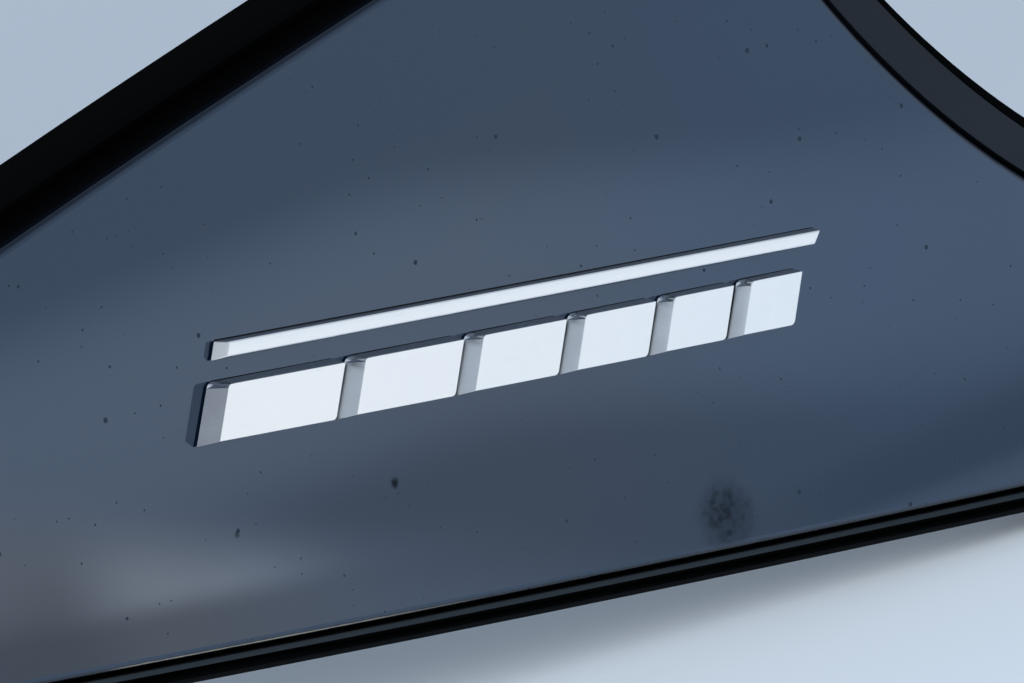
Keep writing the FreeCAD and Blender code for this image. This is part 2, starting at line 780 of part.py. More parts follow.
def locator(name, x, z, flat=None):
    """A boss with a tapered pin; the two-way locator has flats above and below."""
    seat = seat_y(x, z)
    boss = rod(f"locator_boss_{name}", x, z, size.boss_radius, seat - size.seat_depth, seat)
    tip = seat + size.pin_length
    pin = rod(f"locator_pin_{name}", x, z, size.pin_radius, seat - OUTWARD, tip)
    cone = rod(f"locator_tip_{name}", x, z, size.pin_radius, tip, tip + size.pin_tip, size.pin_tip_radius)
    post = fuse(f"locator_post_{name}", [pin, cone])
    if flat is not None:
        across = 2 * size.pin_radius
        slab = box(f"locator_flats_{name}", x, z, across, flat, seat - OUTWARD, tip + size.pin_tip)
        post = common(f"locator_blade_{name}", post, slab)
    return fuse(f"locator_{name}", [boss, post])


def make_carrier():
    raised = [clip_tower(name, *spot) for name, spot in CLIPS.items()]
    raised += [stud_boss(name, *spot) for name, spot in STUDS.items()]
    raised += [locator("round", 0, 0), locator("two_way", *TWO_WAY_PIN, size.blade_pin_flat)]
    footprint = (size.tower_length, size.tower_width, -size.reach_out, size.reach_in)
    spaces = [box(f"rib_clear_{name}", *spot, *footprint) for name, spot in CLIPS.items()]
    ribs = cut("ribs_cleared", carrier_ribs(), fuse("rib_clearances", spaces))
    behind = layer("behind_sheet", SHEET_BACK - size.fit_gap, BACK_SPACE)
    towers = common("towers", fuse("tower_group", raised), behind)
    base = fuse("carrier_base", [carrier_tray(), carrier_inner_wall(), *carrier_flanges()])
    finish("carrier", fuse("carrier_body", [base, ribs, towers]))


# Foam gasket: a closed loop on the ends of the rim and the inner wall

def make_gasket():
    outer = prism("gasket_outer", outline("gasket_outline", RIM_INSET + size.fit_gap))
    inner = prism("gasket_inner", outline("gasket_inside_outline", WALL_INSIDE))
    loop = cut("gasket_loop", outer, inner)
    depths = layer("gasket_layer", size.rim_depth, size.rim_depth + size.gasket_height)
    finish("gasket", common("gasket_foam", loop, depths))


# Seals pushed on to the carrier's flanges; the top ones meet in a mitre

# Degrees from +X to the normal of the mitre, and how far the seals run past it before they are cut
MITRE_ANGLE = -38.0
MITRE_ROOM = 30.0


def grip(name, strip, reach):
    """The room that a seal leaves for its flange."""
    sketch = strip(f"{name}_slot_strip", -OUTWARD, reach + size.fit_gap)
    return sheet_of(f"{name}_slot", sketch, FLANGE_TOP - size.fit_gap, size.rim_depth + size.fit_gap)


def make_belt_seal():
    def strip(name, near, far):
        return belt_strip(name, near, far, SEAL_REAR, SEAL_FRONT)

    bottom = size.rim_depth + size.fit_gap + size.seal_wall
    body = sheet_of(
        "belt_seal_body", strip("belt_body_strip", size.seal_start, size.belt_width), size.belt_face, bottom
    )
    lip_end = size.belt_lip_start + size.belt_lip_wall
    lip = sheet_of(
        "belt_seal_lip",
        strip("belt_lip_strip", size.belt_lip_start, lip_end),
        size.belt_lip_depth,
        size.belt_face + size.fit_gap,
    )
    fin = sheet_of(
        "belt_seal_fin",
        strip("belt_fin_strip", size.belt_width - size.belt_fin_wall, size.belt_width),
        size.belt_fin_depth,
        size.belt_face + size.fit_gap,
    )
    whole = fuse("belt_seal_whole", [body, lip, fin])
    finish("belt_seal", cut("belt_seal_gripped", whole, grip("belt_seal", strip, size.belt_flange)))


def mitre_line():
    """The line that splits the panel's top corner, as an edge whose outside is the window's side."""
    x, z = TOP_CORNER
    turn = math.radians(MITRE_ANGLE)
    return Straight(term(MITRE_ANGLE), term(x * math.cos(turn) + z * math.sin(turn)))


def trimmed(name, item, edge, reach):
    """Cuts away what lies further than a reach outside a straight edge."""
    block = new("Part::Box", f"{name}_trim")
    block.Length = TRIM_SPAN
    block.Height = 2 * TRIM_SPAN
    bind(block, "Width", size.reach_out + size.reach_in)
    turn = Rotation(Vector(0, 1, 0), -edge.angle.number)
    corner = turn.multVec(Vector(edge.distance.number + term(reach).number, 0, -TRIM_SPAN))
    block.Placement = Placement(corner - Vector(0, size.reach_out.number, 0), turn)
    return cut(f"{name}_trimmed", item, block)


def make_roof_seal():
    def strip(name, near, far):
        ends = [arc_angle(ROOF, x, far) for x in (TOP_CORNER[0] + MITRE_ROOM, SEAL_REAR)]
        return arc_strip(name, ROOF, near, far, *ends)

    bottom = size.rim_depth + size.fit_gap + size.seal_wall
    channel = sheet_of(
        "roof_seal_channel",
        strip("roof_channel_strip", size.seal_start, size.roof_width),
        size.roof_face,
        FLANGE_TOP,
    )
    leg_end = size.roof_flange + size.fit_gap + size.seal_wall
    leg = sheet_of(
        "roof_seal_leg", strip("roof_leg_strip", size.seal_start, leg_end), FLANGE_TOP - size.fit_gap, bottom
    )
    lip = sheet_of(
        "roof_seal_lip",
        strip("roof_lip_strip", size.roof_width - size.roof_lip_wall, size.roof_width),
        size.roof_lip_depth,
        size.roof_face + size.fit_gap,
    )
    whole = fuse("roof_seal_whole", [channel, leg, lip])
    gripped = cut("roof_seal_gripped", whole, grip("roof_seal", strip, size.roof_flange))
    finish("roof_seal", trimmed("roof_seal", gripped, mitre_line(), -size.fit_gap / 2))


GLASS = Round(
    WINDOW.x + size.moulding_taper * cosine(size.moulding_turn),
    WINDOW.z + size.moulding_taper * sine(size.moulding_turn),
    size.window_radius - size.moulding_width + size.moulding_start + size.moulding_taper,
    -1,
)
# Degrees that the moulding runs on before it is cut to length, and its chamber past the moulding
MOULDING_ROOM = 8.0
CHAMBER_ROOM = 5.0
MOULDING_ENDS = (
    math.degrees(math.atan2(TOP_CORNER[1] - WINDOW.z.number, TOP_CORNER[0] - WINDOW.x.number)) - MOULDING_ROOM,
    arc_angle(WINDOW, size.front_distance) + MOULDING_ROOM,
)


def moulding_slot(name, near, far):
    return arc_strip(name, WINDOW, near, far, *MOULDING_ENDS)


def moulding_piece(name, piece):
    """Trims a piece at the mitre and in line with the panel's front edge."""
    line = mitre_line()
    window_side = Straight(line.angle + 180, -line.distance)
    ended = trimmed(f"{name}_top", piece, window_side, -size.fit_gap / 2)
    return trimmed(f"{name}_front", ended, FRONT, 0)


def make_window_moulding():
    first, last = MOULDING_ENDS
    bottom = size.rim_depth + size.fit_gap + size.seal_wall
    outer = arc_strip("moulding_strip", WINDOW, size.moulding_start, 0, first, last, GLASS)
    blank = sheet_of("moulding_blank", outer, size.moulding_face, bottom)
    ended = moulding_piece("moulding", blank)
    wall = size.moulding_wall
    low, high = first - CHAMBER_ROOM, last + CHAMBER_ROOM
    chamber_strip = arc_strip("chamber_strip", WINDOW, size.moulding_start + wall, -wall, low, high, GLASS)
    under_face = size.moulding_face + wall
    chamber = sheet_of("moulding_chamber", chamber_strip, under_face, FLANGE_TOP - size.fit_gap - wall)
    hollow = cut("moulding_hollow", ended, chamber)
    finish("window_moulding", cut("moulding_gripped", hollow, grip("moulding", moulding_slot, size.window_flange)))


def make_glass_lip():
    first, last = MOULDING_ENDS
    strip = arc_strip("glass_lip_strip", GLASS, size.fit_gap, size.lip_width, first, last)
    blade = sheet_of("glass_lip_blade", strip, size.lip_depth, size.lip_depth + size.lip_wall)
    finish("glass_lip", moulding_piece("glass_lip", blade))


# Ornament: slanted blades of falling length under a long tapering bar, all on foam tape

def ornament_plane(across, up, height):
    """A plane along the outer face at a place on the ornament, which is given along and square to
    the ornament's slope, from the origin. The plane lies a height off the face."""
    slope = math.radians(size.ornament_slope.number)
    x = across * math.cos(slope) + up * math.sin(slope)
    z = up * math.cos(slope) - across * math.sin(slope)
    normal = outward_normal(x, z)
    along = Vector(math.cos(slope), 0, -math.sin(slope))
    along.y = -along.dot(normal) / normal.y
    along.normalize()
    spot = Vector(x, face_y(x, z, term(0)).number, z) + normal * height
    return Placement(spot, Rotation(along, normal.cross(along), normal, "ZXY"))


def raised(name, sketch, length, draft=0, inwards=False):
    """A sketch on an ornament plane as a block, tapering with its height."""
    item = new("Part::Extrusion", name)
    item.Base = sketch
    item.DirMode = "Normal"
    item.Solid = True
    item.Reversed = inwards
    bind(item, "LengthFwd", length)
    bind(item, "TaperAngle", -term(draft))
    return item


def make_bar():
    """The long bar, which tapers towards the front and follows the face, and its tape."""
    lean = tangent(size.ornament_lean)
    rear = -size.ornament_rear + (size.blade_tall + size.blade_gap) * lean
    corners = (
        (rear, 0),
        (size.bar_front - size.bar_point, 0),
        (size.bar_front, size.bar_slim),
        (rear + size.bar_tall * lean, size.bar_tall),
    )
    base = ornament_plane(0, size.bar_low.number, -size.tape_height.number)
    sketch = profile("ornament_bar_outline", corners, base)
    reach = 2 * size.tape_height + 1.2 * size.bar_height
    blank = raised("ornament_bar_blank", sketch, reach, size.ornament_draft)
    depths = layer("ornament_bar_layer", -(size.tape_height + size.bar_height), -size.tape_height)
    finish("ornament_bar", common("ornament_bar_piece", blank, depths))
    pad = raised("ornament_bar_pad", sketch, reach)
    slack = size.tape_slack
    return common("ornament_bar_tape", pad, layer("ornament_tape_layer", slack - size.tape_height, -slack))


def make_blade(index, start):
    """A slanted blade with its lower front and upper rear corners rounded, and its tape. It starts
    at its upper rear corner."""
    lean, radius = tangent(size.ornament_lean), size.blade_corner
    length = size.blade_length
    for _ in range(index):
        length = length * size.blade_shrink
    tall = size.blade_tall - index * size.blade_drop
    top = size.bar_low - size.blade_gap
    foot, bottom = start - tall * lean, top - tall
    across, up = (foot + start + length) / 2, top - tall / 2
    trim = radius * tangent((90 - size.ornament_lean) / 2)
    side = (trim * sine(size.ornament_lean), trim * cosine(size.ornament_lean))
    corners = (
        (foot, bottom),
        (foot + length - trim, bottom, radius, 1),
        (foot + length + side[0], bottom + side[1]),
        (start + length, top),
        (start + trim, top, radius, 1),
        (start - side[0], top - side[1]),
    )
    centred = [(corner[0] - across, corner[1] - up, *corner[2:]) for corner in corners]
    base = ornament_plane(across.number, up.number, size.tape_height.number)
    name = f"ornament_blade_{index + 1}"
    sketch = profile(f"{name}_outline", centred, base)
    height = size.blade_height - index * size.blade_step
    finish(name, raised(f"{name}_block", sketch, height, size.ornament_draft))
    tape = raised(f"{name}_tape", sketch, size.tape_height - size.tape_slack, inwards=True)
    return tape, start + length + size.blade_spacing


def make_ornament():
    tapes = [make_bar()]
    start = -size.ornament_rear + size.blade_tall * tangent(size.ornament_lean)
    for index in range(BLADES):
        tape, start = make_blade(index, start)
        tapes.append(tape)
    finish("ornament_tape", fuse("ornament_tapes", tapes))


# Clips, studs and pads

def turned_body(name, half_profile, x, z):
    """A body made by one revolution, standing across the car on its seat."""
    body = new("PartDesign::Body", name)
    sketch = on_plane(body, "XZ_Plane", profile(name + "_profile", half_profile, body=body))
    turn = body.newObject("PartDesign::Revolution", name + "_turn")
    turn.Profile = sketch
    turn.ReferenceAxis = (sketch, ["V_Axis"])
    turn.Angle = 360
    stand(body, x, seat_y(x, z), z)
    return body


def on_plane(body, role, sketch):
    """Attaches a sketch to one of its body's own planes."""
    plane = next(feature for feature in body.Origin.OriginFeatures if feature.Role == role)
    sketch.AttachmentSupport = [(plane, "")]
    sketch.MapMode = "FlatFace"
    return sketch


def padded(body, name, corners, length):
    """A pad both ways from the body's own middle plane."""
    sketch = on_plane(body, "XZ_Plane", profile(name + "_outline", corners, body=body))
    pad = body.newObject("PartDesign::Pad", name)
    pad.Profile = sketch
    pad.Midplane = True
    bind(pad, "Length", length)
    return pad, sketch


def make_clip(name, x, z):
    """A push-in clip: square head, neck, sealing washer and four bowed legs that meet at the tip."""
    under_head = -(size.tower_plate + size.fit_gap)
    over_head = under_head - size.clip_head_wall
    washer_top = size.fit_gap + size.washer_wall
    half_profile = (
        (0, over_head),
        (size.clip_neck, over_head),
        (size.clip_neck, size.fit_gap),
        (size.clip_washer, size.fit_gap),
        (size.clip_washer, washer_top),
        (0, washer_top),
    )
    body = turned_body(f"clip_{name}", half_profile, x, z)
    side = size.clip_head / 2
    head = ((-side, over_head), (side, over_head), (side, under_head), (-side, under_head))
    padded(body, f"clip_head_{name}", head, size.clip_head)
    tip, half, inside = size.clip_length, size.clip_length / 2, size.clip_neck - size.clip_leg
    leg = (
        (inside, washer_top - size.washer_wall / 2),
        (size.clip_neck, washer_top - size.washer_wall / 2),
        (size.clip_bulge, half),
        (size.clip_leg, tip),
        (0, tip),
        (0, tip - size.clip_leg),
        (size.clip_bulge - size.clip_leg, half),
    )
    pad, sketch = padded(body, f"clip_leg_{name}", leg, size.clip_leg_width)
    legs = body.newObject("PartDesign::PolarPattern", f"clip_legs_{name}")
    legs.Originals = [pad]
    legs.Axis = (sketch, ["V_Axis"])
    legs.Angle = 360
    legs.Occurrences = 4
    body.Tip = legs
    finish(f"clip_{name}", body)


def make_stud(name, x, z):
    """A stud whose thicker root sits in its boss."""
    half_profile = (
        (0, -size.stud_bury),
        (size.stud_root, -size.stud_bury),
        (size.stud_root, 0),
        (size.stud_radius, 0),
        (size.stud_radius, size.stud_length),
        (0, size.stud_length),
    )
    finish(f"stud_{name}", turned_body(f"stud_{name}", half_profile, x, z))


def make_pad(name, x, z):
    """A foam block that lies on the ribs."""
    block = box(f"pad_block_{name}", x, z, size.pad_length, size.pad_width, -size.reach_out, size.reach_in)
    top = size.rib_depth
    depths = layer(f"pad_layer_{name}", top, top + size.pad_height)
    finish(f"pad_{name}", common(f"pad_foam_{name}", block, depths))


def write_parts():
    """Checks every object and writes each piece's shape."""
    doc.recompute()
    bad = [item.Name for item in doc.Objects if {"Invalid", "Error"} & set(item.State)]
    if bad:
        raise RuntimeError(f"these objects failed: {bad}")
    os.makedirs("parts", exist_ok=True)
    for node, item in FINISHED.items():
        shape = item.Shape
        if shape.isNull() or not shape.isValid() or not shape.Solids:
            raise RuntimeError(f"{node} is empty or not valid")
        shape.exportStep(f"parts/{node}.step")
        extent = shape.optimalBoundingBox(False, False)
        spans = f"{extent.XLength:.1f} x {extent.YLength:.1f} x {extent.ZLength:.1f}"
        print(f"{node}: {len(shape.Solids)} solid(s), {shape.Volume / 1000:.2f} cm3, {spans}")


make_skin()
make_carrier()
make_gasket()
make_belt_seal()
make_roof_seal()
make_window_moulding()
make_glass_lip()
make_ornament()
for title, spot in CLIPS.items():
    make_clip(title, *spot)
for title, spot in STUDS.items():
    make_stud(title, *spot)
for title, spot in PADS.items():
    make_pad(title, *spot)
write_parts()
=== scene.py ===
import logging
import math
from contextlib import contextmanager
from dataclasses import dataclass
from enum import Enum
from typing import Callable, Iterable, Iterator, Union

import bmesh
import bpy
from mathutils import Matrix, Vector


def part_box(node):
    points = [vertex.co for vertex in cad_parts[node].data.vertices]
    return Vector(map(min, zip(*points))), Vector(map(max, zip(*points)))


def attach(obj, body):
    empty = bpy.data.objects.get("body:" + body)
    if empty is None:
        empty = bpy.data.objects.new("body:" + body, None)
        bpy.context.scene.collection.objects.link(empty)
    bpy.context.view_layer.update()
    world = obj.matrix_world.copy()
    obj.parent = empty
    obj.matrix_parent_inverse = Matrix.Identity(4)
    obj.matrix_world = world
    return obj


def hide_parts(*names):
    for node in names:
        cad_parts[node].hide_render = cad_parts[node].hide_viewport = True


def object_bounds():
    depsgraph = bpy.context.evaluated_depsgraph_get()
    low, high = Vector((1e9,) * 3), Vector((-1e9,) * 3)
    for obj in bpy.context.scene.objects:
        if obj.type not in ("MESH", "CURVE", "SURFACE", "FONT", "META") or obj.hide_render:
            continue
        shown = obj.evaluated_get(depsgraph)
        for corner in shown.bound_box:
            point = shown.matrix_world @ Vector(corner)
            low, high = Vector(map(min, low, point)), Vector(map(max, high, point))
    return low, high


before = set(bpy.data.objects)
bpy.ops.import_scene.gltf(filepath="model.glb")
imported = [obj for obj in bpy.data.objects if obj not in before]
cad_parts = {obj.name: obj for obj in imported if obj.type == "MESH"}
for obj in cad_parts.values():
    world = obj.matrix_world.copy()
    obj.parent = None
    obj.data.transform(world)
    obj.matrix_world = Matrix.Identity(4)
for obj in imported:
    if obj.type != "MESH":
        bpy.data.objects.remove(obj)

# Looks of a car's rear quarter pillar panel: gloss black skin, chrome ornament, rubber seals,
# grained window moulding, and on its back a ribbed carrier with clips, studs and foam pads.
# Metres, in the frame of the CAD nodes: +X to the car's front, +Z up, -Y outboard.

LOG = logging.getLogger("pillar_panel")
CAD_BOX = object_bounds()
MM = 0.001

Colour = tuple[float, float, float]
Point = tuple[float, float, float]
Span = tuple[float, float]
Piece = bpy.types.Object
Value = Union["Wire", float, int]
Sockets = dict[str | int, object]


class Slot(Enum):
    """Names of material slots; nothing in this script reads them."""

    GLOSS_BLACK = "gloss_black"
    CARRIER_BLACK = "carrier_black"
    MATTE_BLACK = "matte_black"
    RUBBER = "rubber"
    FOAM = "foam"
    CHROME = "chrome"
    ZINC_STEEL = "zinc_steel"


# Shader maths


class Wire:
    """An output socket; an expression on wires adds the Math nodes that work it out."""

    def __init__(self, bench: "Bench", socket: bpy.types.NodeSocket | None) -> None:
        """Keeps the socket and the bench whose tree it is in."""
        self.bench = bench
        self.socket = socket

    def __add__(self, other: Value) -> "Wire":
        """Adds a value."""
        return self.bench.math("ADD", self, other)

    def __radd__(self, other: Value) -> "Wire":
        """Adds to a plain number."""
        return self.bench.math("ADD", other, self)

    def __sub__(self, other: Value) -> "Wire":
        """Takes a value away."""
        return self.bench.math("SUBTRACT", self, other)

    def __rsub__(self, other: Value) -> "Wire":
        """Is taken away from a plain number."""
        return self.bench.math("SUBTRACT", other, self)

    def __mul__(self, other: Value) -> "Wire":
        """Multiplies by a value."""
        return self.bench.math("MULTIPLY", self, other)

    def __rmul__(self, other: Value) -> "Wire":
        """Multiplies a plain number."""
        return self.bench.math("MULTIPLY", other, self)

    def __pow__(self, other: Value) -> "Wire":
        """Raises to a power."""
        return self.bench.math("POWER", self, other)

    def below(self, limit: Value) -> "Wire":
        """Is 1 where this value is less than a limit, and 0 elsewhere."""
        return self.bench.math("LESS_THAN", self, limit)

    def above(self, limit: Value) -> "Wire":
        """Is 1 where this value is more than a limit, and 0 elsewhere."""
        return self.bench.math("GREATER_THAN", self, limit)

    def larger(self, other: Value) -> "Wire":
        """Is the larger of two values."""
        return self.bench.math("MAXIMUM", self, other)

    def ease(self, low: float, high: float) -> "Wire":
        """Runs smoothly from 0 to 1 as this value goes from low to high, whichever is larger."""
        bounds = {"Value": self, "From Min": low, "From Max": high}
        return self.bench.add("MapRange", {"interpolation_type": "SMOOTHSTEP"}, bounds)

    def output(self, name: str) -> "Wire":
        """Is another output of the same node."""
        return Wire(self.bench, self.socket.node.outputs[name])


class Bench:
    """A node tree and the short ways to fill it."""

    def __init__(self, tree: bpy.types.NodeTree) -> None:
        """Starts from an empty tree."""
        self.tree = tree
        tree.nodes.clear()

    def add(
        self,
        kind: str,
        settings: dict[str, object] | None = None,
        sockets: Sockets | None = None,
        output: str | int = 0,
    ) -> Wire:
        """Adds a node, sets it up and fills its sockets.

        Args:
            kind: The node's type, without the ShaderNode that they all start with.
            settings: Its properties, set first.
            sockets: Its inputs by name or number: a wire is linked, anything else is written there.
            output: The output that is wanted.

        Returns:
            That output, or an empty wire where the node has none.
        """
        node = self.tree.nodes.new(f"ShaderNode{kind}")
        for name, value in (settings or {}).items():
            setattr(node, name, value)
        for name, value in (sockets or {}).items():
            if isinstance(value, Wire):
                self.tree.links.new(value.socket, node.inputs[name])
            else:
                node.inputs[name].default_value = value
        return Wire(self, node.outputs[output] if node.outputs else None)

    def math(self, operation: str, one: Value, other: Value) -> Wire:
        """Adds a Math node on two values."""
        return self.add("Math", {"operation": operation}, {0: one, 1: other})

    def vectors(
        self, operation: str, one: object, other: object = (0, 0, 0), output: str = "Vector"
    ) -> Wire:
        """Adds a Vector Math node on two vectors."""
        sockets = {0: one, 1: other}
        return self.add("VectorMath", {"operation": operation}, sockets, output)

    def blend(self, factor: Value, under: object, over: object) -> Wire:
        """Mixes two colours, each numbers or a wire; the factor is how much of the second shows."""
        low, high = (c if isinstance(c, Wire) else (*c, 1.0) for c in (under, over))
        return self.add("Mix", {"data_type": "RGBA"}, {0: factor, 6: low, 7: high}, 2)

    def principled(self, sockets: Sockets) -> Wire:
        """Is a Principled shader."""
        return self.add("BsdfPrincipled", {}, sockets)

    def cover(self, mask: Value, under: Wire, over: Wire) -> Wire:
        """Lays one shader over another where a mask is 1."""
        return self.add("MixShader", {}, {0: mask, 1: under, 2: over})

    def place(self) -> Wire:
        """Is the point of the object, in metres."""
        return self.add("TexCoord", output="Object")

    def parts(self, point: Wire | None = None) -> tuple[Wire, Wire, Wire]:
        """Takes a point apart into x, y and z; the object's own by default."""
        x = self.add("SeparateXYZ", {}, {"Vector": point or self.place()})
        return x, x.output("Y"), x.output("Z")

    def mapped(self, scale: Point = (1, 1, 1), turn: Point = (0, 0, 0)) -> Wire:
        """Is the object's point, scaled along the axes and turned about them, in radians."""
        sockets = {"Vector": self.place(), "Scale": scale, "Rotation": turn}
        return self.add("Mapping", {}, sockets)

    def noise(self, scale: float, detail: float = 2.0, where: Wire | None = None) -> Wire:
        """Is a soft noise from 0 to 1, by its features in a metre and its octaves."""
        sockets = {"Vector": where or self.place(), "Scale": scale, "Detail": detail}
        return self.add("TexNoise", {}, sockets)

    def bump(self, height: Wire, metres: float, under: Wire | None = None) -> Wire:
        """Bends the normal, or one that is already bent, by a height from 0 to so many metres."""
        sockets = {"Height": height, "Distance": metres} | ({"Normal": under} if under else {})
        return self.add("Bump", {}, sockets)


# Where things are on the panel


@dataclass(frozen=True)
class FaceForm:
    """The curved outer face that the depth of a point is measured from."""

    lean: float = 16.0
    section_radius: float = 1400.0 * MM
    plan_radius: float = 5200.0 * MM
    widest_at: float = 300.0 * MM
    seat_depth: float = 17.0 * MM

    def depth(self, bench: Bench) -> Wire:
        """Is how deep a point lies under the face, in metres square to it."""
        _, _, ring, rise = self._legs(bench.parts())
        return self.section_radius - (ring * ring + rise * rise) ** 0.5

    def outward(self, spot: Vector) -> tuple[Vector, float]:
        """Finds which way the face looks at a point.

        Args:
            spot: The point.

        Returns:
            The direction square to the face, and how deep the point lies under it.
        """
        along, across, ring, rise = self._legs(spot)
        span = math.hypot(along, across)
        square = Vector((ring * along / span, -ring * across / span, rise))
        return square.normalized(), self.section_radius - math.hypot(ring, rise)

    def _legs(self, point: Iterable[Value]) -> tuple[Value, Value, Value, Value]:
        """Measures a point from what the face's two curves turn about.

        Args:
            point: Its x, y and z, as numbers or wires.

        Returns:
            How far it lies from the plan curve's axis, along and across, and from the section
            curve's, across and up.
        """
        x, y, z = point
        centre_z = -self.section_radius * math.sin(math.radians(self.lean))
        ring_inset = self.plan_radius - self.section_radius
        seat_radius = self.section_radius - self.seat_depth
        seat_ring = ring_inset + math.sqrt(seat_radius**2 - centre_z**2)
        along = x - self.widest_at
        across = math.sqrt(seat_ring**2 - self.widest_at**2) - y
        return along, across, (along * along + across * across) ** 0.5 - ring_inset, z - centre_z


@dataclass(frozen=True)
class BeltLine:
    """The panel's straight bottom edge in the side view: its slope and how far off it lies."""

    slope: float = 5.7
    distance: float = 48.7 * MM

    def down(self) -> Vector:
        """Is the direction square to the edge, away from the panel."""
        slope = math.radians(self.slope)
        return Vector((-math.sin(slope), 0.0, -math.cos(slope)))

    def reach(self, bench: Bench) -> Wire:
        """Is how far a point lies from the origin in that direction."""
        return bench.vectors("DOT_PRODUCT", bench.place(), self.down(), "Value")


FACE = FaceForm()
BELT = BeltLine()


@dataclass(frozen=True)
class Spot:
    """A mark on the gloss face: where it is in the side view, its radius, how dark it is and how
    much of it is broken up into specks of a size."""

    x: float
    z: float
    radius: float
    dark: float
    broken: float = 0.0
    speck: float = 1.0 * MM

    def mask(self, bench: Bench) -> Wire:
        """Is how much of the mark shows.

        Args:
            bench: The tree.

        Returns:
            The mask.
        """
        level = bench.vectors("MULTIPLY", bench.place(), (1, 0, 1))
        away = bench.vectors("DISTANCE", level, (self.x, 0.0, self.z), "Value")
        waver = 0.5 * self.radius * (bench.noise(1.2 / self.radius, 2.0) - 0.5)
        edge = (away + waver).ease(self.radius, self.radius * 0.25)
        specks = bench.noise(0.8 / self.speck, 4.0).ease(0.42, 0.62)
        return self.dark * edge * (1 - self.broken + self.broken * specks)


@dataclass(frozen=True)
class Dust:
    """Scattered specks of uneven width: their cells in a metre, the widest speck's radius in cells
    and the share of the cells that stay empty."""

    cells: float
    widest: float
    empty: float

    def mask(self, bench: Bench) -> Wire:
        """Is where the specks lie.

        Args:
            bench: The tree.

        Returns:
            The mask.
        """
        flat = bench.mapped(turn=(math.pi / 2, 0, 0))
        cells = {"Vector": flat, "Scale": self.cells}
        near = bench.add("TexVoronoi", {"voronoi_dimensions": "2D"}, cells)
        share = bench.add("SeparateColor", {}, {"Color": near.output("Color")})
        reach = self.widest * (0.25 + 0.75 * share)
        return (near - reach).ease(self.widest * 0.3, 0.0) * share.output("Green").above(self.empty)


# Finishes


def scaled(colour: Colour, factor: float) -> Colour:
    """Is a colour, made darker or lighter."""
    return tuple(factor * part for part in colour)


@dataclass(frozen=True)
class Finish:
    """A material: its name, its colour and how rough it is."""

    name: str
    colour: Colour
    roughness: float

    def material(self) -> bpy.types.Material:
        """Builds the material, or finds it if it is built.

        Returns:
            The material.
        """
        known = bpy.data.materials.get(self.name)
        if known is not None:
            return known
        made = bpy.data.materials.new(self.name)
        made.use_nodes = True
        bench = Bench(made.node_tree)
        bench.add("OutputMaterial", {}, {"Surface": self.shader(bench)})
        return made

    def shader(self, bench: Bench) -> Wire:
        """Is the finished shader."""
        return bench.principled(self.surface(bench))

    def surface(self, bench: Bench) -> Sockets:
        """Works out the shader's sockets and their values or wires."""
        raise NotImplementedError

    def shades(self, bench: Bench, amount: Wire, spread: float) -> Wire:
        """Is the colour, darker by a share where the amount is 0 and lighter where it is 1."""
        light = tuple(min(part, 1.0) for part in scaled(self.colour, 1 + spread))
        return bench.blend(amount, scaled(self.colour, 1 - spread), light)


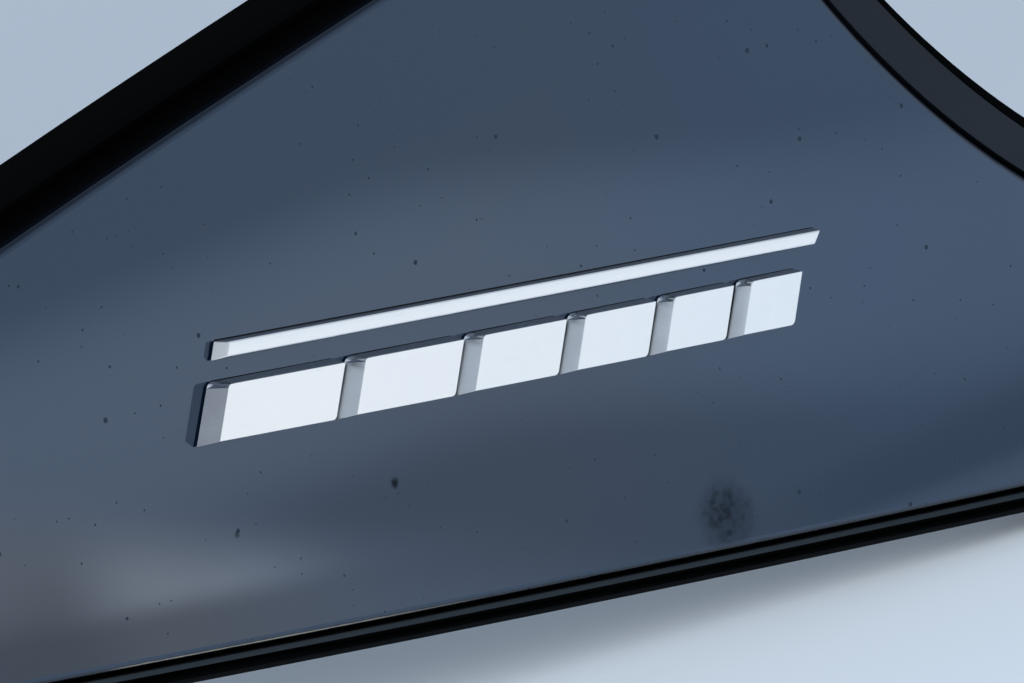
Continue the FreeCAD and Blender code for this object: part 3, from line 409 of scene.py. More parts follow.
@dataclass(frozen=True)
class GlossBlack(Finish):
    """Black paint under clear lacquer, with dust on it; dried drops take away its gloss. The
    rounded edge in part and the return wall behind it in full are near-black matte, as painted
    shade, and a pale warm line along the rear of the bottom edge is a painted highlight."""

    edge_round: float = 1.6 * MM
    # Painted shade: part of the rounded edge, and all of the return wall, take the near-black matte
    # surface
    edge_painted_shade: float = 0.65
    edge_shade_depths: Span = (0.05 * MM, 0.4 * MM)
    # A painted highlight: a pale warm line along the rear of the bottom edge, standing in for a
    # reflection
    painted_highlight_depth: float = 0.5 * MM
    painted_highlight_width: float = 0.16 * MM
    painted_highlight_above_edge: float = 2.0 * MM
    painted_highlight_rear: float = -118.0 * MM
    painted_highlight_front: float = -10.0 * MM
    painted_highlight_fade: float = 8.0 * MM
    painted_highlight_cover: float = 0.85
    painted_highlight_colour: Colour = (0.36, 0.33, 0.26)
    # The near-black matte surface: painted shade on the edge and the return wall, and the dried
    # drops' surface
    shade_and_drop_colour: Colour = (0.0012, 0.0014, 0.0018)
    shade_and_drop_gloss: float = 0.03
    grain_scale: float = 2400.0
    grain_dark: float = 0.8
    coat: float = 1.0
    # A blue specular tint: with the navy paint, painted reflection of a blue sky in the lacquer
    tint: Colour = (0.24, 0.55, 1.0)
    peel_scale: float = 220.0
    peel_height: float = 0.0012 * MM
    dust_colour: Colour = (0.012, 0.013, 0.015)
    dust_height: float = 0.012 * MM
    dust_rough: float = 0.45
    coarse: Dust = Dust(cells=105.0, widest=0.05, empty=0.87)
    fine: Dust = Dust(cells=330.0, widest=0.07, empty=0.93)
    spots: tuple[Spot, ...] = ()

    def shader(self, bench: Bench) -> Wire:
        """Puts the dried drops, painted shade on the edge and the return wall, and the painted
        highlight line over the lacquer.

        Args:
            bench: The tree.

        Returns:
            The shader.
        """
        grain = bench.noise(self.grain_scale)
        shade_and_drop_dark = scaled(self.shade_and_drop_colour, self.grain_dark)
        # Near-black matte: painted shade on the edge and the return wall, and the surface where
        # dried drops lie
        wall = bench.principled({
            "Base Color": bench.blend(grain, shade_and_drop_dark, self.shade_and_drop_colour),
            "Roughness": 0.6 + 0.1 * grain,
            "Specular IOR Level": self.shade_and_drop_gloss,
        })
        depth = FACE.depth(bench)
        # Mask of the painted shade on the return wall and part of the rounded edge, and of the
        # dried drops
        shade_and_drops = depth.ease(self.edge_round, 1.5 * self.edge_round)
        shade_and_drops = shade_and_drops.larger(self.edge_painted_shade * depth.ease(*self.edge_shade_depths))
        for spot in self.spots:
            shade_and_drops = shade_and_drops.larger(spot.mask(bench))
        face = bench.cover(shade_and_drops, super().shader(bench), wall)
        # Painted highlight: a pale warm line on the rounded bottom edge
        painted_highlight_dark = scaled(self.painted_highlight_colour, self.grain_dark)
        line = bench.principled({
            "Base Color": bench.blend(grain, self.painted_highlight_colour, painted_highlight_dark),
            "Roughness": 0.5,
            "Specular IOR Level": 0.3,
        })
        return bench.cover(self._painted_highlight_mask(bench, depth), face, line)

    def _painted_highlight_mask(self, bench: Bench, depth: Wire) -> Wire:
        """Finds the painted highlight line on the rear stretch of the bottom edge.

        Args:
            bench: The tree.
            depth: How deep the point lies under the face.

        Returns:
            A mask of the hairline.
        """
        along, _, _ = bench.parts()
        off = depth - self.painted_highlight_depth
        line = (off * off).ease(self.painted_highlight_width**2, 0.0)
        line = line * BELT.reach(bench).above(BELT.distance - self.painted_highlight_above_edge)
        middle = 0.5 * (self.painted_highlight_rear + self.painted_highlight_front)
        fade = along.ease(self.painted_highlight_rear, self.painted_highlight_rear + self.painted_highlight_fade)
        return self.painted_highlight_cover * line * (fade * along.ease(self.painted_highlight_front, middle))

    def surface(self, bench: Bench) -> Sockets:
        """Works out paint, lacquer, dust and orange peel.

        Args:
            bench: The tree.

        Returns:
            The sockets.
        """
        dust = self.coarse.mask(bench).larger(self.fine.mask(bench))
        haze = bench.noise(9.0, 3.0).ease(0.45, 0.75)
        peel = bench.bump(bench.noise(self.peel_scale, 1.0), self.peel_height)
        paint = self.shades(bench, bench.noise(14.0), 0.08)
        return {
            "Base Color": bench.blend(dust, paint, self.dust_colour),
            "Roughness": self.roughness + 0.02 * haze + self.dust_rough * dust,
            "IOR": 1.62,
            "Specular Tint": (*self.tint, 1.0),
            "Coat Weight": self.coat * (1 - dust),
            "Coat Roughness": 0.025,
            "Coat IOR": 1.5,
            "Normal": bench.bump(dust, self.dust_height, peel),
        }


@dataclass(frozen=True)
class Moulded(Finish):
    """Moulded plastic or rubber with a fine grain."""

    grain_scale: float = 2600.0
    grain_height: float = 0.03 * MM
    drift_scale: float = 26.0
    swirl_scale: float = 90.0
    gloss: float = 0.35
    spread: float = 0.12
    flow: float = 0.0

    def surface(self, bench: Bench) -> Sockets:
        """Works out the grain and the faint lines where the plastic flowed.

        Args:
            bench: The tree.

        Returns:
            The sockets.
        """
        grain = bench.noise(self.grain_scale, 3.0)
        drift = bench.noise(self.drift_scale, 4.0, bench.mapped(scale=(0.4, 1.0, 1.6)))
        swirl = bench.noise(self.swirl_scale, 5.0, bench.mapped(scale=(0.25, 1.0, 1.0)))
        tone = (0.7 * drift + 0.3 * grain).ease(0.3, 0.7)
        return {
            "Base Color": self.shades(bench, tone, self.spread),
            "Roughness": self.roughness + 0.1 * (drift - 0.5) + self.flow * (swirl - 0.5),
            "Specular IOR Level": self.gloss,
            "Normal": bench.bump(grain, self.grain_height),
        }


@dataclass(frozen=True)
class RubberWithLitLip(Moulded):
    """Seal rubber whose inner lip, under the panel's bottom edge, is lighter grey as a painted
    highlight.
    """

    lit_lip_near: float = 1.4 * MM
    lit_lip_far: float = 3.3 * MM
    lit_lip_depth: float = 5.0 * MM
    lit_lip_colour: Colour = (0.026, 0.035, 0.044)

    def surface(self, bench: Bench) -> Sockets:
        """Works out the rubber and the painted highlight on its lip.

        Args:
            bench: The tree.

        Returns:
            The sockets.
        """
        sockets = super().surface(bench)
        # Painted highlight: the lip near the face is lighter grey, where it catches the light
        under = BELT.reach(bench) - BELT.distance
        lip = under.above(self.lit_lip_near) * under.below(self.lit_lip_far)
        lip = lip * FACE.depth(bench).ease(self.lit_lip_depth, 0.7 * self.lit_lip_depth)
        patchy = 0.7 + 0.3 * bench.noise(40.0, 3.0)
        sockets["Base Color"] = bench.blend(lip * patchy, sockets["Base Color"], self.lit_lip_colour)
        return sockets


@dataclass(frozen=True)
class Chrome(Finish):
    """Bright chrome on plastic: a little wavy, with faint haze and fine hairlines."""

    haze: float = 0.07
    cloud_scale: float = 160.0
    line_scale: float = 2200.0
    wave_scale: float = 240.0
    wave_height: float = 0.0022 * MM

    def surface(self, bench: Bench) -> Sockets:
        """Works out haze, hairlines and waves.

        Args:
            bench: The tree.

        Returns:
            The sockets.
        """
        cloud = bench.noise(self.cloud_scale, 4.0).ease(0.42, 0.72)
        drawn = bench.mapped(scale=(0.03, 1.0, 1.0))
        lines = bench.noise(self.line_scale, 2.0, drawn).ease(0.62, 0.8)
        return {
            "Base Color": self.shades(bench, cloud, 0.03),
            "Metallic": 1.0,
            "Roughness": self.roughness + self.haze * cloud + 0.06 * lines,
            "Normal": bench.bump(bench.noise(self.wave_scale, 1.0), self.wave_height),
        }


@dataclass(frozen=True)
class Foam(Finish):
    """Closed-cell foam with open pores on its cut faces."""

    cells: float = 1500.0
    pore: float = 0.16 * MM
    pore_painted_shade: float = 0.35

    def surface(self, bench: Bench) -> Sockets:
        """Works out the cells, with painted shade darkening their pores.

        Args:
            bench: The tree.

        Returns:
            The sockets.
        """
        cells = {"Vector": bench.place(), "Scale": self.cells}
        cell = bench.add("TexVoronoi", {}, cells)
        share = bench.add("SeparateColor", {}, {"Color": cell.output("Color")})
        wall = (cell + 0.3 * share).ease(0.15, 0.6)
        return {
            # Painted shade: the pores are darker than the cell walls
            "Base Color": bench.blend(wall, scaled(self.colour, self.pore_painted_shade), self.colour),
            "Roughness": self.roughness - 0.1 * wall,
            "Specular IOR Level": 0.2,
            "Normal": bench.bump(wall, self.pore),
        }


@dataclass(frozen=True)
class Zinc(Finish):
    """Zinc-plated steel with a faint yellow and blue sheen."""

    sheen: Colour = (0.5, 0.53, 0.58)
    cloud_scale: float = 320.0
    mark_scale: float = 3000.0
    mark_height: float = 0.006 * MM

    def surface(self, bench: Bench) -> Sockets:
        """Works out the plating's clouds and the marks of rolling.

        Args:
            bench: The tree.

        Returns:
            The sockets.
        """
        cloud = bench.noise(self.cloud_scale, 4.0).ease(0.35, 0.65)
        marks = bench.noise(self.mark_scale, 2.0, bench.mapped(scale=(1.0, 0.15, 1.0)))
        return {
            "Base Color": bench.blend(cloud, self.colour, self.sheen),
            "Metallic": 1.0,
            "Roughness": self.roughness + 0.12 * cloud + 0.08 * marks,
            "Normal": bench.bump(marks, self.mark_height),
        }


@dataclass(frozen=True)
class Nylon(Finish):
    """Natural nylon: milky, a little waxy, with a fine eroded grain."""

    glow: float = 0.12
    glow_depth: float = 1.0 * MM
    cloud_scale: float = 180.0
    grain_scale: float = 3800.0
    grain_height: float = 0.01 * MM

    def surface(self, bench: Bench) -> Sockets:
        """Works out the milky tone and the grain.

        Args:
            bench: The tree.

        Returns:
            The sockets.
        """
        grain = bench.noise(self.grain_scale)
        return {
            "Base Color": self.shades(bench, bench.noise(self.cloud_scale, 3.0), 0.09),
            "Roughness": self.roughness + 0.15 * (grain - 0.5),
            "Subsurface Weight": self.glow,
            "Subsurface Radius": (0.6, 0.5, 0.35),
            "Subsurface Scale": self.glow_depth,
            "Normal": bench.bump(grain, self.grain_height),
        }


@dataclass(frozen=True)
class PaleFloor(Finish):
    """A matt floor, darker behind the panel as painted shade, that fades out towards its rim."""

    radius: float = 1.3
    fade: Span = (0.45, 0.98)
    # Painted shade: the floor's colour behind the panel
    behind: Colour = (0.56, 0.63, 0.71)
    painted_shade_at: Span = (-60.0 * MM, 160.0 * MM)

    def shader(self, bench: Bench) -> Wire:
        """Thins the floor out to nothing at its rim.

        Args:
            bench: The tree.

        Returns:
            The shader.
        """
        away = bench.vectors("LENGTH", bench.place(), output="Value")
        start, end = (share * self.radius for share in self.fade)
        clear = bench.add("BsdfTransparent")
        return bench.cover(away.ease(start, end), super().shader(bench), clear)

    def surface(self, bench: Bench) -> Sockets:
        """Works out the floor's painted shade behind the panel and its uneven tone.

        Args:
            bench: The tree.

        Returns:
            The sockets.
        """
        _, y, _ = bench.parts()
        # Painted shade darkens the floor towards the back; the noise is uneven tone
        tone = y.ease(*self.painted_shade_at) + 0.2 * (bench.noise(3.0, 3.0) - 0.5)
        return {
            "Base Color": bench.blend(tone.ease(0.0, 1.0), self.colour, self.behind),
            "Roughness": self.roughness,
            "Specular IOR Level": 0.1,
        }


DRIED_DROPS = (
    Spot(x=-37.5 * MM, z=-19.0 * MM, radius=1.5 * MM, dark=0.8),
    Spot(x=-79.1 * MM, z=-19.0 * MM, radius=0.9 * MM, dark=0.6),
    Spot(x=45.6 * MM, z=-46.5 * MM, radius=9.5 * MM, dark=0.68, broken=0.45, speck=1.6 * MM),
)
# Black paint tinted navy: painted reflection of a blue sky
GLOSS = GlossBlack("gloss_black_lacquer", (0.003, 0.008, 0.020), 0.02, spots=DRIED_DROPS)
CHROME = Chrome("ornament_chrome", (0.90, 0.915, 0.93), 0.2, haze=0.04)
MOULDING = Moulded("grained_moulding", (0.0085, 0.013, 0.020), 0.52, gloss=0.2)
# Near-black rubber with almost no gloss: painted shade of the deep roof gap and the glass lip's gap
SHADE_BLACK_RUBBER = Moulded(
    "roof_channel_rubber", (0.0010, 0.0012, 0.0016), 0.75, grain_scale=1500.0, gloss=0.02
)
SEAL_RUBBER = RubberWithLitLip(
    "seal_rubber", (0.0022, 0.0030, 0.0038), 0.6, grain_scale=1800.0, gloss=0.06
)
CARRIER_PLASTIC = Moulded("carrier_plastic", (0.020, 0.021, 0.023), 0.5, flow=0.25, spread=0.2)
GASKET_FOAM = Foam("gasket_foam", (0.030, 0.030, 0.032), 0.9)
PAD_FOAM = Foam("pad_foam", (0.034, 0.034, 0.036), 0.92, cells=900.0, pore=0.25 * MM)
TAPE_FOAM = Foam("tape_foam", (0.008, 0.008, 0.009), 0.85, cells=2600.0, pore=0.06 * MM)
CLIP_NYLON = Nylon("clip_nylon", (0.62, 0.60, 0.53), 0.42)
STUD_ZINC = Zinc("stud_zinc", (0.60, 0.59, 0.55), 0.24)
FLOOR = PaleFloor("pale_floor", (0.78, 0.86, 0.94), 0.9)


# Modelling


# The least share of a face's normal along an axis that counts as facing it, and as flat across it
FACING = 0.7
FLAT = 0.9


def start_piece() -> None:
    """Leaves edit mode and selects nothing, so that an operator acts on the new piece alone."""
    if bpy.context.object is not None and bpy.context.object.mode != "OBJECT":
        bpy.ops.object.mode_set(mode="OBJECT")
    bpy.ops.object.select_all(action="DESELECT")


def take_up(piece: Piece) -> None:
    """Makes a piece the one that operators act on.

    Args:
        piece: The piece.
    """
    start_piece()
    piece.select_set(True)
    bpy.context.view_layer.objects.active = piece


@contextmanager
def editing(piece: Piece) -> Iterator[None]:
    """Keeps a piece in edit mode through a with block.

    Args:
        piece: The piece.
    """
    take_up(piece)
    bpy.ops.object.mode_set(mode="EDIT")
    yield
    bpy.ops.object.mode_set(mode="OBJECT")


def select_faces(piece: Piece, wanted: Callable[[bmesh.types.BMFace], bool]) -> None:
    """Selects the faces that pass a test, in edit mode.

    Args:
        piece: The piece, in edit mode.
        wanted: The test of a face.
    """
    bpy.ops.mesh.select_mode(type="FACE")
    bpy.ops.mesh.select_all(action="DESELECT")
    shape = bmesh.from_edit_mesh(piece.data)
    for face in shape.faces:
        face.select_set(wanted(face))
    bmesh.update_edit_mesh(piece.data)


def modify(piece: Piece, kind: str, **settings: object) -> None:
    """Adds a modifier, sets it and applies it.

    Args:
        piece: The piece.
        kind: The modifier's type.
        **settings: Its properties.
    """
    take_up(piece)
    bpy.ops.object.modifier_add(type=kind)
    modifier = piece.modifiers[-1]
    for name, value in settings.items():
        setattr(modifier, name, value)
    bpy.ops.object.modifier_apply(modifier=modifier.name)


def smooth(piece: Piece, degrees: float = 32.0) -> None:
    """Shades a piece smooth, but for its sharp edges."""
    take_up(piece)
    bpy.ops.object.shade_smooth_by_angle(angle=math.radians(degrees))


def settle(piece: Piece) -> None:
    """Puts a piece's place, turn and size into its mesh."""
    take_up(piece)
    bpy.ops.object.transform_apply(location=True, rotation=True, scale=True)


def bring_in(name: str, data: bpy.types.ID) -> Piece:
    """Puts a new object into the scene.

    Args:
        name: Its name.
        data: Its mesh, lamp or camera.

    Returns:
        The object.
    """
    made = bpy.data.objects.new(name, data)
    bpy.context.scene.collection.objects.link(made)
    return made


def dress(piece: Piece, finish: Finish) -> None:
    """Gives a piece one material."""
    piece.data.materials.clear()
    piece.data.materials.append(finish.material())


def dress_node(node: str, finish: Finish) -> None:
    """Gives a CAD node its material."""
    dress(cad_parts[node], finish)
    LOG.info("%s: dressed in %s", node, finish.name)


def finish_piece(
    piece: Piece, finish: Finish, instead_of: Iterable[str] = ()
) -> None:
    """Gives a new piece its material and its body, and reports it.

    Args:
        piece: The piece.
        finish: Its material.
        instead_of: The CAD nodes that it stands for.
    """
    dress(piece, finish)
    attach(piece, "root")
    for node in instead_of:
        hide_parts(node)
    LOG.info("%s: %d faces, %s", piece.name, len(piece.data.polygons), finish.name)


def merged_copy(node: str, name: str, flatten: float = 0.0) -> Piece:
    """Copies a CAD node's mesh into a new piece whose faces share their corners.

    Args:
        node: The CAD node.
        name: The new piece's name.
        flatten: Degrees under which neighbouring faces are joined; 0 joins none.

    Returns:
        The new piece.
    """
    piece = bring_in(name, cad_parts[node].data.copy())
    take_up(piece)
    bpy.ops.mesh.customdata_custom_splitnormals_clear()
    with editing(piece):
        bpy.ops.mesh.select_all(action="SELECT")
        bpy.ops.mesh.remove_doubles(threshold=0.01 * MM)
        if flatten:
            bpy.ops.mesh.dissolve_limited(angle_limit=math.radians(flatten))
    return piece


def softened(
    node: str,
    name: str,
    radius: float,
    segments: int,
    flatten: float = 0.0,
    shape: Callable[[Piece], None] | None = None,
) -> Piece:
    """Copies a CAD node with its sharp edges rounded.

    Args:
        node: The CAD node.
        name: The new piece's name.
        radius: How wide the rounding is.
        segments: Its faces across.
        flatten: Degrees under which neighbouring faces are joined first.
        shape: What is done to the piece before it is rounded.

    Returns:
        The new piece.
    """
    piece = merged_copy(node, name, flatten)
    if shape is not None:
        shape(piece)
    angle = math.radians(35.0)
    modify(
        piece, "BEVEL", width=radius, segments=segments, limit_method="ANGLE", angle_limit=angle
    )
    smooth(piece)
    return piece


# Sub-assemblies


@dataclass
class GlossSkin:
    """The outer skin, whose curved face mirrors evenly."""

    near_face: float = 0.02 * MM
    agree: float = math.cos(math.radians(4.0))

    def build(self) -> None:
        """Smooths and dresses a copy of the skin."""
        piece = merged_copy("skin", "gloss_skin")
        smooth(piece)
        self._true_normals(piece.data)
        finish_piece(piece, GLOSS, ["skin"])

    def _true_normals(self, shape: bpy.types.Mesh) -> None:
        """Gives the corners on the curved face the face's own normals.

        Args:
            shape: The skin's mesh.
        """
        normals = [Vector(normal.vector) for normal in shape.corner_normals]
        for face in shape.polygons:
            for corner, index in zip(face.loop_indices, face.vertices):
                square, depth = FACE.outward(shape.vertices[index].co)
                if abs(depth) < self.near_face and face.normal.dot(square) > self.agree:
                    normals[corner] = square
        shape.normals_split_custom_set(normals)


@dataclass
class ChromeOrnament:
    """The bar and its slanted blades, each with softly rounded edges, and the tape under them."""

    blades: int = 6
    edge: float = 0.3 * MM
    segments: int = 3
    rear_run: float = 1.1 * MM

    def build(self) -> None:
        """Rounds and dresses the chrome pieces and the tape."""
        for node in ("ornament_bar", *(f"ornament_blade_{i + 1}" for i in range(self.blades))):
            name = node.replace("ornament", "chrome")
            piece = softened(node, name, self.edge, self.segments, 1.0, self._slope_rear)
            modify(piece, "WEIGHTED_NORMAL", mode="FACE_AREA", weight=100, keep_sharp=True)
            finish_piece(piece, CHROME, [node])
        dress_node("ornament_tape", TAPE_FOAM)

    def _slope_rear(self, piece: Piece) -> None:
        """Draws a piece's foot out to the rear, so that its rear wall slopes and catches the light.

        Args:
            piece: The bar or a blade.
        """
        places = [vertex.co.x for vertex in piece.data.vertices]
        stretch = 1 + self.rear_run / (max(places) - min(places))
        with editing(piece):
            select_faces(piece, lambda face: face.normal.y > FACING)
            bpy.ops.transform.resize(value=(stretch, 1, 1), center_override=(max(places), 0, 0))


@dataclass(frozen=True)
class Lean:
    """A tip of the bottom seal: where it starts and ends under the panel and how far it leans."""

    near: float
    far: float
    rise: float

    def has(self, face: bmesh.types.BMFace) -> bool:
        """Tells whether a face looks out from the tip."""
        under = BELT.down().dot(face.calc_center_median()) - BELT.distance
        return face.normal.y < -FACING and self.near < under < self.far


@dataclass
class EdgeSeals:
    """The rubber and the moulding round the panel's edges, and the foam gasket behind it."""

    lip_edge: float = 0.25 * MM
    gasket_edge: float = 0.6 * MM
    moulding_edge: float = 0.3 * MM
    lip: Lean = Lean(near=2.7 * MM, far=4.1 * MM, rise=1.2 * MM)
    fin: Lean = Lean(near=5.5 * MM, far=6.8 * MM, rise=0.9 * MM)

    def build(self) -> None:
        """Rounds and dresses the seals."""
        for node, finish, shape in (
            ("belt_seal", SEAL_RUBBER, self._lean_tips),
            ("roof_seal", SHADE_BLACK_RUBBER, None),
            ("glass_lip", SHADE_BLACK_RUBBER, None),
        ):
            piece = softened(node, f"{node}_rubber", self.lip_edge, 2, shape=shape)
            finish_piece(piece, finish, [node])
        gasket = softened("gasket", "gasket_foam_loop", self.gasket_edge, 2)
        finish_piece(gasket, GASKET_FOAM, ["gasket"])
        moulding = softened("window_moulding", "window_moulding_strip", self.moulding_edge, 3)
        finish_piece(moulding, MOULDING, ["window_moulding"])

    def _lean_tips(self, piece: Piece) -> None:
        """Leans the bottom seal's lip and fin to the panel, as they sit once they are fitted.

        Args:
            piece: The bottom seal.
        """
        for tip in (self.lip, self.fin):
            with editing(piece):
                select_faces(piece, tip.has)
                bpy.ops.transform.translate(value=-tip.rise * BELT.down())


@dataclass
class Carrier:
    """The ribbed carrier and the marks that its mould left."""

    mark_radius: float = 2.6 * MM
    mark_height: float = 0.35 * MM
    mark_rim: float = 0.35 * MM
    mark_sides: int = 28
    dish_slope: float = 0.3 * MM
    dish_depth: float = 0.15 * MM
    clear_of_back: float = 80.0 * MM
    # Where the ejector pins met the back: x and z in the side view
    marks: tuple[Span, ...] = (
        (-0.180, 0.006), (-0.150, -0.002), (-0.092, 0.002), (-0.075, 0.022), (-0.030, -0.004),
        (-0.004, 0.026), (0.030, 0.030), (0.026, -0.018), (0.064, -0.010), (0.072, 0.022),
        (0.104, -0.022), (0.150, -0.024), (0.010, 0.052), (0.044, 0.048),
    )

    def build(self) -> None:
        """Dresses the carrier and adds its ejector marks."""
        dress_node("carrier", CARRIER_PLASTIC)
        first = self._mark()
        copies = [self._set_down(first, *spot) for spot in self.marks]
        bpy.data.objects.remove(first)
        piece = copies[0]
        take_up(piece)
        for copy in copies:
            copy.select_set(True)
        bpy.ops.object.join()
        piece.name = "carrier_ejector_marks"
        smooth(piece)
        finish_piece(piece, CARRIER_PLASTIC)

    def _mark(self) -> Piece:
        """Models one mark at the origin, looking up: a low disc with a dished face.

        Returns:
            The mark.
        """
        start_piece()
        bpy.ops.mesh.primitive_cylinder_add(
            vertices=self.mark_sides, radius=self.mark_radius, depth=2 * self.mark_height
        )
        piece = bpy.context.object
        with editing(piece):
            select_faces(piece, lambda face: face.normal.z > FLAT)
            bpy.ops.mesh.inset(thickness=self.mark_rim)
            bpy.ops.mesh.inset(thickness=self.dish_slope)
            bpy.ops.transform.translate(value=(0, 0, -self.dish_depth))
        return piece

    def _set_down(self, mark: Piece, x: float, z: float) -> Piece:
        """Copies the mark to a place on the carrier's back.

        Args:
            mark: The mark to copy.
            x: Its place along the car.
            z: Its height.

        Returns:
            The copy.
        """
        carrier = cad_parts["carrier"]
        start, way = Vector((x, self.clear_of_back, z)), Vector((0, -1, 0))
        _, spot, normal, _ = carrier.ray_cast(start, way)
        copy = bring_in("mark", mark.data.copy())
        turn = normal.to_track_quat("Z", "Y").to_matrix().to_4x4()
        copy.data.transform(Matrix.Translation(spot) @ turn)
        return copy


@dataclass
class FoamPads:
    """The foam pads that stop the panel drumming."""

    names: tuple[str, ...] = ("rear", "middle", "front")
    edge: float = 1.4 * MM

    def build(self) -> None:
        """Rounds and dresses the pads."""
        for name in self.names:
            pad = softened(f"pad_{name}", f"foam_pad_{name}", self.edge, 3, flatten=1.0)
            finish_piece(pad, PAD_FOAM, [f"pad_{name}"])


@dataclass
class Fasteners:
    """The push-in clips and the threaded studs."""

    clips: tuple[str, ...] = (
        "belt_rear", "belt_middle", "belt_front", "belt_nose", "roof_rear", "roof_front",
    )
    studs: tuple[str, ...] = ("rear", "top", "nose")
    neck_radius: float = 3.6 * MM
    neck_length: float = 4.5 * MM
    thread_radius: float = 3.0 * MM
    root_radius: float = 2.45 * MM
    pitch: float = 1.0 * MM
    tip: float = 0.75 * MM
    sides: int = 32
    bare_turns: float = 1.2
    # The ridge's feet: their depth in the core, in thread depths, and half their gap, in pitches
    foot_sink: float = 0.1
    foot_half: float = 0.46

    def build(self) -> None:
        """Dresses the clips and replaces the plain studs by threaded ones."""
        for name in self.clips:
            dress_node(f"clip_{name}", CLIP_NYLON)
        for name in self.studs:
            self._stud(name)

    def _stud(self, name: str) -> None:
        """Models a stud in the place of its plain node.

        Args:
            name: The stud's name.
        """
        low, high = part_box(f"stud_{name}")
        shank = high.y - low.y - self.neck_length
        piece = self._core(shank)
        thread = self._thread(shank)
        take_up(piece)
        thread.select_set(True)
        bpy.ops.object.join()
        piece.name = f"threaded_stud_{name}"
        stand = Matrix.Translation(((low.x + high.x) / 2, low.y, (low.z + high.z) / 2))
        piece.data.transform(stand @ Matrix.Rotation(-math.pi / 2, 4, "X"))
        smooth(piece, 28.0)
        finish_piece(piece, STUD_ZINC, [f"stud_{name}"])

    def _core(self, shank: float) -> Piece:
        """Models the root and the thread's core, standing on the origin.

        Args:
            shank: The length of its threaded stretch.

        Returns:
            The core.
        """
        start_piece()
        middle = (0, 0, self.neck_length / 2)
        bpy.ops.mesh.primitive_cylinder_add(
            vertices=self.sides, radius=self.neck_radius, depth=self.neck_length, location=middle
        )
        piece = bpy.context.object
        settle(piece)
        shrink = (self.root_radius - self.tip) / self.root_radius
        with editing(piece):
            select_faces(piece, lambda face: face.normal.z > FLAT)
            bpy.ops.mesh.inset(thickness=self.neck_radius - self.root_radius)
            for length in (shank - self.tip, self.tip):
                rise = {"value": (0, 0, length)}
                bpy.ops.mesh.extrude_region_move(TRANSFORM_OT_translate=rise)
            bpy.ops.transform.resize(value=(shrink, shrink, 1.0))
        return piece

    def _thread(self, shank: float) -> Piece:
        """Winds one triangular ridge round the core.

        Args:
            shank: The length of the threaded stretch.

        Returns:
            The ridge.
        """
        turns = int((shank - self.tip - self.pitch * self.bare_turns) / self.pitch)
        foot = self.root_radius - self.foot_sink * (self.thread_radius - self.root_radius)
        half = self.foot_half * self.pitch
        start_piece()
        bpy.ops.mesh.primitive_circle_add(vertices=3, radius=self.pitch)
        ridge = bpy.context.object
        section = ((self.thread_radius, 0.0), (foot, -half), (foot, half))
        for vertex, (radius, rise) in zip(ridge.data.vertices, section):
            vertex.co = (radius, 0.0, self.neck_length + self.pitch + rise)
        modify(
            ridge, "SCREW", axis="Z", screw_offset=self.pitch, iterations=turns,
            steps=self.sides, render_steps=self.sides, use_smooth_shade=False,
        )
        with editing(ridge):
            bpy.ops.mesh.select_all(action="SELECT")
            bpy.ops.mesh.fill_holes(sides=3)
            bpy.ops.mesh.normals_make_consistent(inside=False)
        return ridge


# Light, floor and camera


@dataclass(frozen=True)
class Lamp:
    """A wide soft lamp that looks at the panel and leaves no glint in the gloss."""

    name: str
    place: Point
    side: float
    watts: float
    tint: Colour

    def hang(self) -> None:
        """Puts the lamp into the scene."""
        light = bpy.data.lights.new(self.name, "AREA")
        light.shape = "DISK"
        light.size = self.side
        light.energy = self.watts
        light.color = self.tint
        holder = bring_in(self.name, light)
        holder.location = self.place
        holder.rotation_mode = "QUATERNION"
        holder.rotation_quaternion = (-Vector(self.place)).to_track_quat("-Z", "Y")
        holder.visible_glossy = False


@dataclass
class Studio:
    """A pale floor and two wide lamps."""

    floor_sides: int = 96
    floor_gap: float = 0.5 * MM
    lamps: tuple[Lamp, ...] = (
        Lamp("key", (-1.1, -1.5, 1.5), 1.5, 26.0, (1.0, 0.98, 0.95)),
        Lamp("fill", (1.6, -0.9, 0.9), 1.2, 8.0, (0.93, 0.97, 1.0)),
    )

    def build(self) -> None:
        """Lays the floor under the panel's lowest point and hangs the lamps."""
        start_piece()
        low, _ = CAD_BOX
        spot = (0, 0, low.z - self.floor_gap)
        bpy.ops.mesh.primitive_circle_add(
            vertices=self.floor_sides, radius=FLOOR.radius, fill_type="NGON", location=spot
        )
        floor = bpy.context.object
        settle(floor)
        floor.name = "floor"
        dress(floor, FLOOR)
        for lamp in self.lamps:
            lamp.hang()


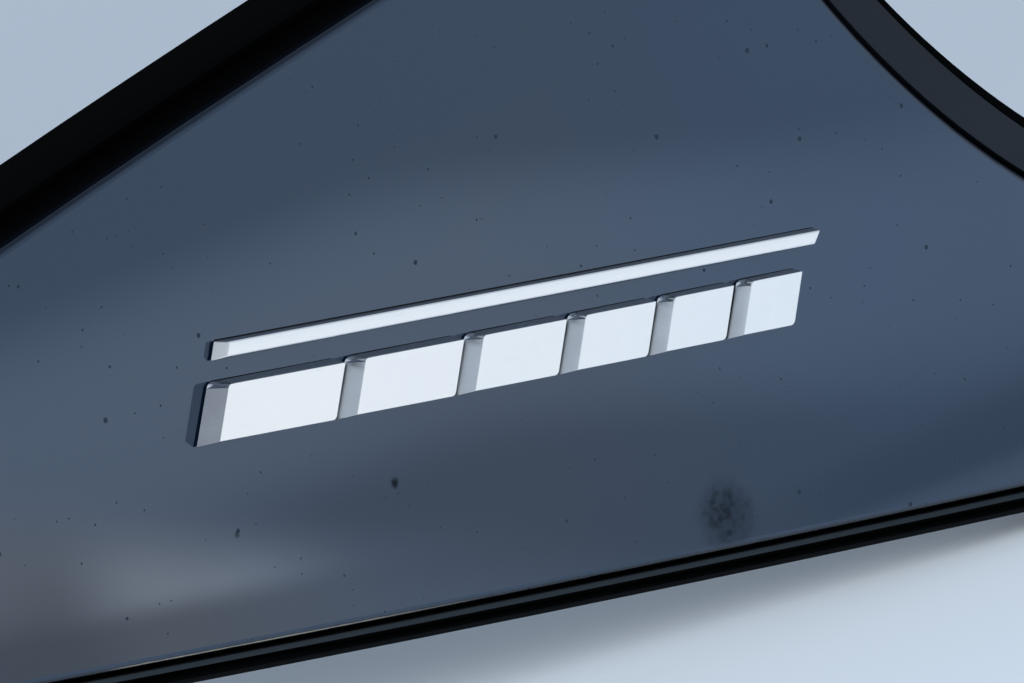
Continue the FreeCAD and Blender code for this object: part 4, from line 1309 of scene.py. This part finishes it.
@dataclass(frozen=True)
class MirroredWindow:
    """The small window of the room, near the horizon, that the gloss face mirrors.

    In it a bright band tilts down to the front over a dimmer ground, which has a pale corner at the
    rear with a streak in it. Heights and headings are sines, and a heading grows to the front of
    the car. A span says where something starts and where it is full.
    """

    square_headings: Span = (0.04, 0.01)
    heights: Span = (0.3, 0.18)
    base: float = 0.84
    upper_glow: float = 0.06
    upper: Span = (0.05, 0.11)
    band_height: float = 0.075
    band_fall: float = 0.042
    band_spread: float = 0.043
    band_glow: float = 0.56
    band_front_loss: float = 0.2
    band_front: Span = (-0.02, 0.07)
    corner: Span = (0.008, -0.024)
    corner_glow: float = 0.36
    corner_rear_loss: float = 0.8
    corner_rear: Span = (-0.056, -0.070)
    streak_glow: float = 1.15
    streak_tilt: float = 0.35
    streak_foot: Span = (0.003, 0.012)
    streak_top: Span = (0.038, 0.012)
    streak_rear: Span = (-0.026, -0.046)
    streak_least: float = 0.2
    front_dark: float = 0.15
    front_dark_under: Span = (0.0, -0.012)
    front_dark_from: Span = (0.01, 0.045)
    front_tint: Colour = (0.87, 1.0, 1.12)
    front_tint_from: Span = (-0.01, 0.05)
    upper_tint_share: float = 0.5
    upper_tint_from: Span = (0.08, 0.13)
    corner_tint: Colour = (1.16, 1.0, 0.86)
    corner_tint_from: Span = (-0.02, -0.055)

    def show(self, bench: Bench, height: Wire, across: Wire, outside: Wire) -> tuple[Wire, Wire]:
        """Works out how bright the room is, and its tint, with the window in it.

        Args:
            bench: The tree.
            height: How far a direction points up.
            across: How far it points to the front.
            outside: How bright the room is away from the window.

        Returns:
            The brightness and the tint.
        """
        window = (across * across).ease(*self.square_headings) * height.ease(*self.heights)
        front = across.ease(*self.band_front)
        off = height - self.band_height + self.band_fall * front
        band = (off * off).ease(self.band_spread**2, 0.0)
        band = band * (self.band_glow - self.band_front_loss * front)
        rise = height + self.streak_tilt * across
        streak = rise.ease(*self.streak_foot) * rise.ease(*self.streak_top)
        full = self.streak_least + (1 - self.streak_least) * across.ease(*self.streak_rear)
        corner = (height + across).ease(*self.corner)
        pale = corner * (self.corner_glow + self.streak_glow * (streak * full))
        pale = pale * (1 - self.corner_rear_loss * across.ease(*self.corner_rear))
        dark = self.front_dark * height.ease(*self.front_dark_under)
        dark = dark * across.ease(*self.front_dark_from)
        inside = self.base + self.upper_glow * height.ease(*self.upper) + band + pale - dark
        glow = outside + window * (inside - outside)
        above = self.upper_tint_share * height.ease(*self.upper_tint_from)
        bluer = across.ease(*self.front_tint_from).larger(above) * window
        warmer = corner * across.ease(*self.corner_tint_from) * window
        tint = bench.blend(bluer, (1.0, 1.0, 1.0), self.front_tint)
        return glow, bench.blend(warmer, tint, self.corner_tint)


@dataclass
class SoftRoom:
    """The world: a soft room, pale at eye level and bluer overhead."""

    low: Colour = (0.66, 0.71, 0.77)
    level: Colour = (0.89, 0.94, 1.0)
    level_at: Span = (-0.12, 0.04)
    high: Colour = (0.70, 0.80, 0.94)
    high_at: Span = (0.15, 0.9)
    strength: float = 0.9
    heading: Point = (0.805, 0.592, 0.0)
    overhead: float = 0.75
    overhead_at: Span = (0.05, 0.16)
    window: MirroredWindow = MirroredWindow()
    clouds: float = 0.08
    cloud_scale: float = 9.0
    dark_side: float = 0.85
    dark_from: Span = (0.3, 0.7)
    dark_under: Span = (0.6, 0.3)

    def build(self) -> None:
        """Makes the world."""
        world = bpy.data.worlds.new("soft_room")
        world.use_nodes = True
        bpy.context.scene.world = world
        bench = Bench(world.node_tree)
        way = bench.add("TexCoord", output="Generated")
        _, _, height = bench.parts(way)
        across = bench.vectors("DOT_PRODUCT", way, self.heading, "Value")
        outside = 1 - (1 - self.overhead) * height.ease(*self.overhead_at)
        glow, tint = self.window.show(bench, height, across, outside)
        glow = glow + self.clouds * (bench.noise(self.cloud_scale, 3.0, way) - 0.5)
        # A dark wall to the front keeps the edges quiet; the camera doesn't see it
        unseen = 1 - bench.add("LightPath", output="Is Camera Ray")
        wall = self.dark_side * across.ease(*self.dark_from) * height.ease(*self.dark_under)
        glow = glow * (1 - wall * unseen)
        lower = bench.blend(height.ease(*self.level_at), self.low, self.level)
        colour = bench.blend(height.ease(*self.high_at), lower, self.high)
        tinted = bench.vectors("MULTIPLY", colour, tint)
        scaling = {"Vector": tinted, "Scale": glow}
        lit = bench.add("VectorMath", {"operation": "SCALE"}, scaling)
        shown = bench.add("Background", {}, {"Color": lit, "Strength": self.strength})
        bench.add("OutputWorld", {}, {"Surface": shown})


@dataclass
class PhotoCamera:
    """The camera at the photograph's viewing angle."""

    azimuth: float = -46.3
    elevation: float = 21.0
    distance: float = 5.0
    lens: float = 886.8
    sensor: float = 36.0
    clip: Span = (0.01, 50.0)
    # The point in the middle of the picture: the face over the origin, less a little to one side
    target: Point = (0.0, -17.7 * MM, 0.0)
    right_of_middle: float = 0.6 * MM
    over_middle: float = 0.3 * MM

    def build(self) -> None:
        """Places the camera and makes it the scene's."""
        turn, rise = math.radians(self.azimuth), math.radians(self.elevation)
        level = math.cos(rise)
        back = Vector((math.sin(turn) * level, -math.cos(turn) * level, math.sin(rise)))
        facing = (-back).to_track_quat("-Z", "Y")
        right, over = facing @ Vector((1, 0, 0)), facing @ Vector((0, 1, 0))
        data = bpy.data.cameras.new("photo_camera")
        data.lens, data.sensor_width = self.lens, self.sensor
        data.clip_start, data.clip_end = self.clip
        camera = bring_in("photo_camera", data)
        aim = Vector(self.target) - right * self.right_of_middle - over * self.over_middle
        camera.location = aim + back * self.distance
        camera.rotation_mode = "QUATERNION"
        camera.rotation_quaternion = facing
        bpy.context.scene.camera = camera


def main() -> None:
    """Builds the scene, piece by piece."""
    logging.basicConfig(level=logging.INFO, format="%(message)s")
    bpy.context.scene.view_settings.view_transform = "Standard"
    for part in (
        PhotoCamera(), GlossSkin(), ChromeOrnament(), EdgeSeals(), Carrier(), FoamPads(),
        Fasteners(), Studio(), SoftRoom(),
    ):
        part.build()


if __name__ == "__main__":
    main()
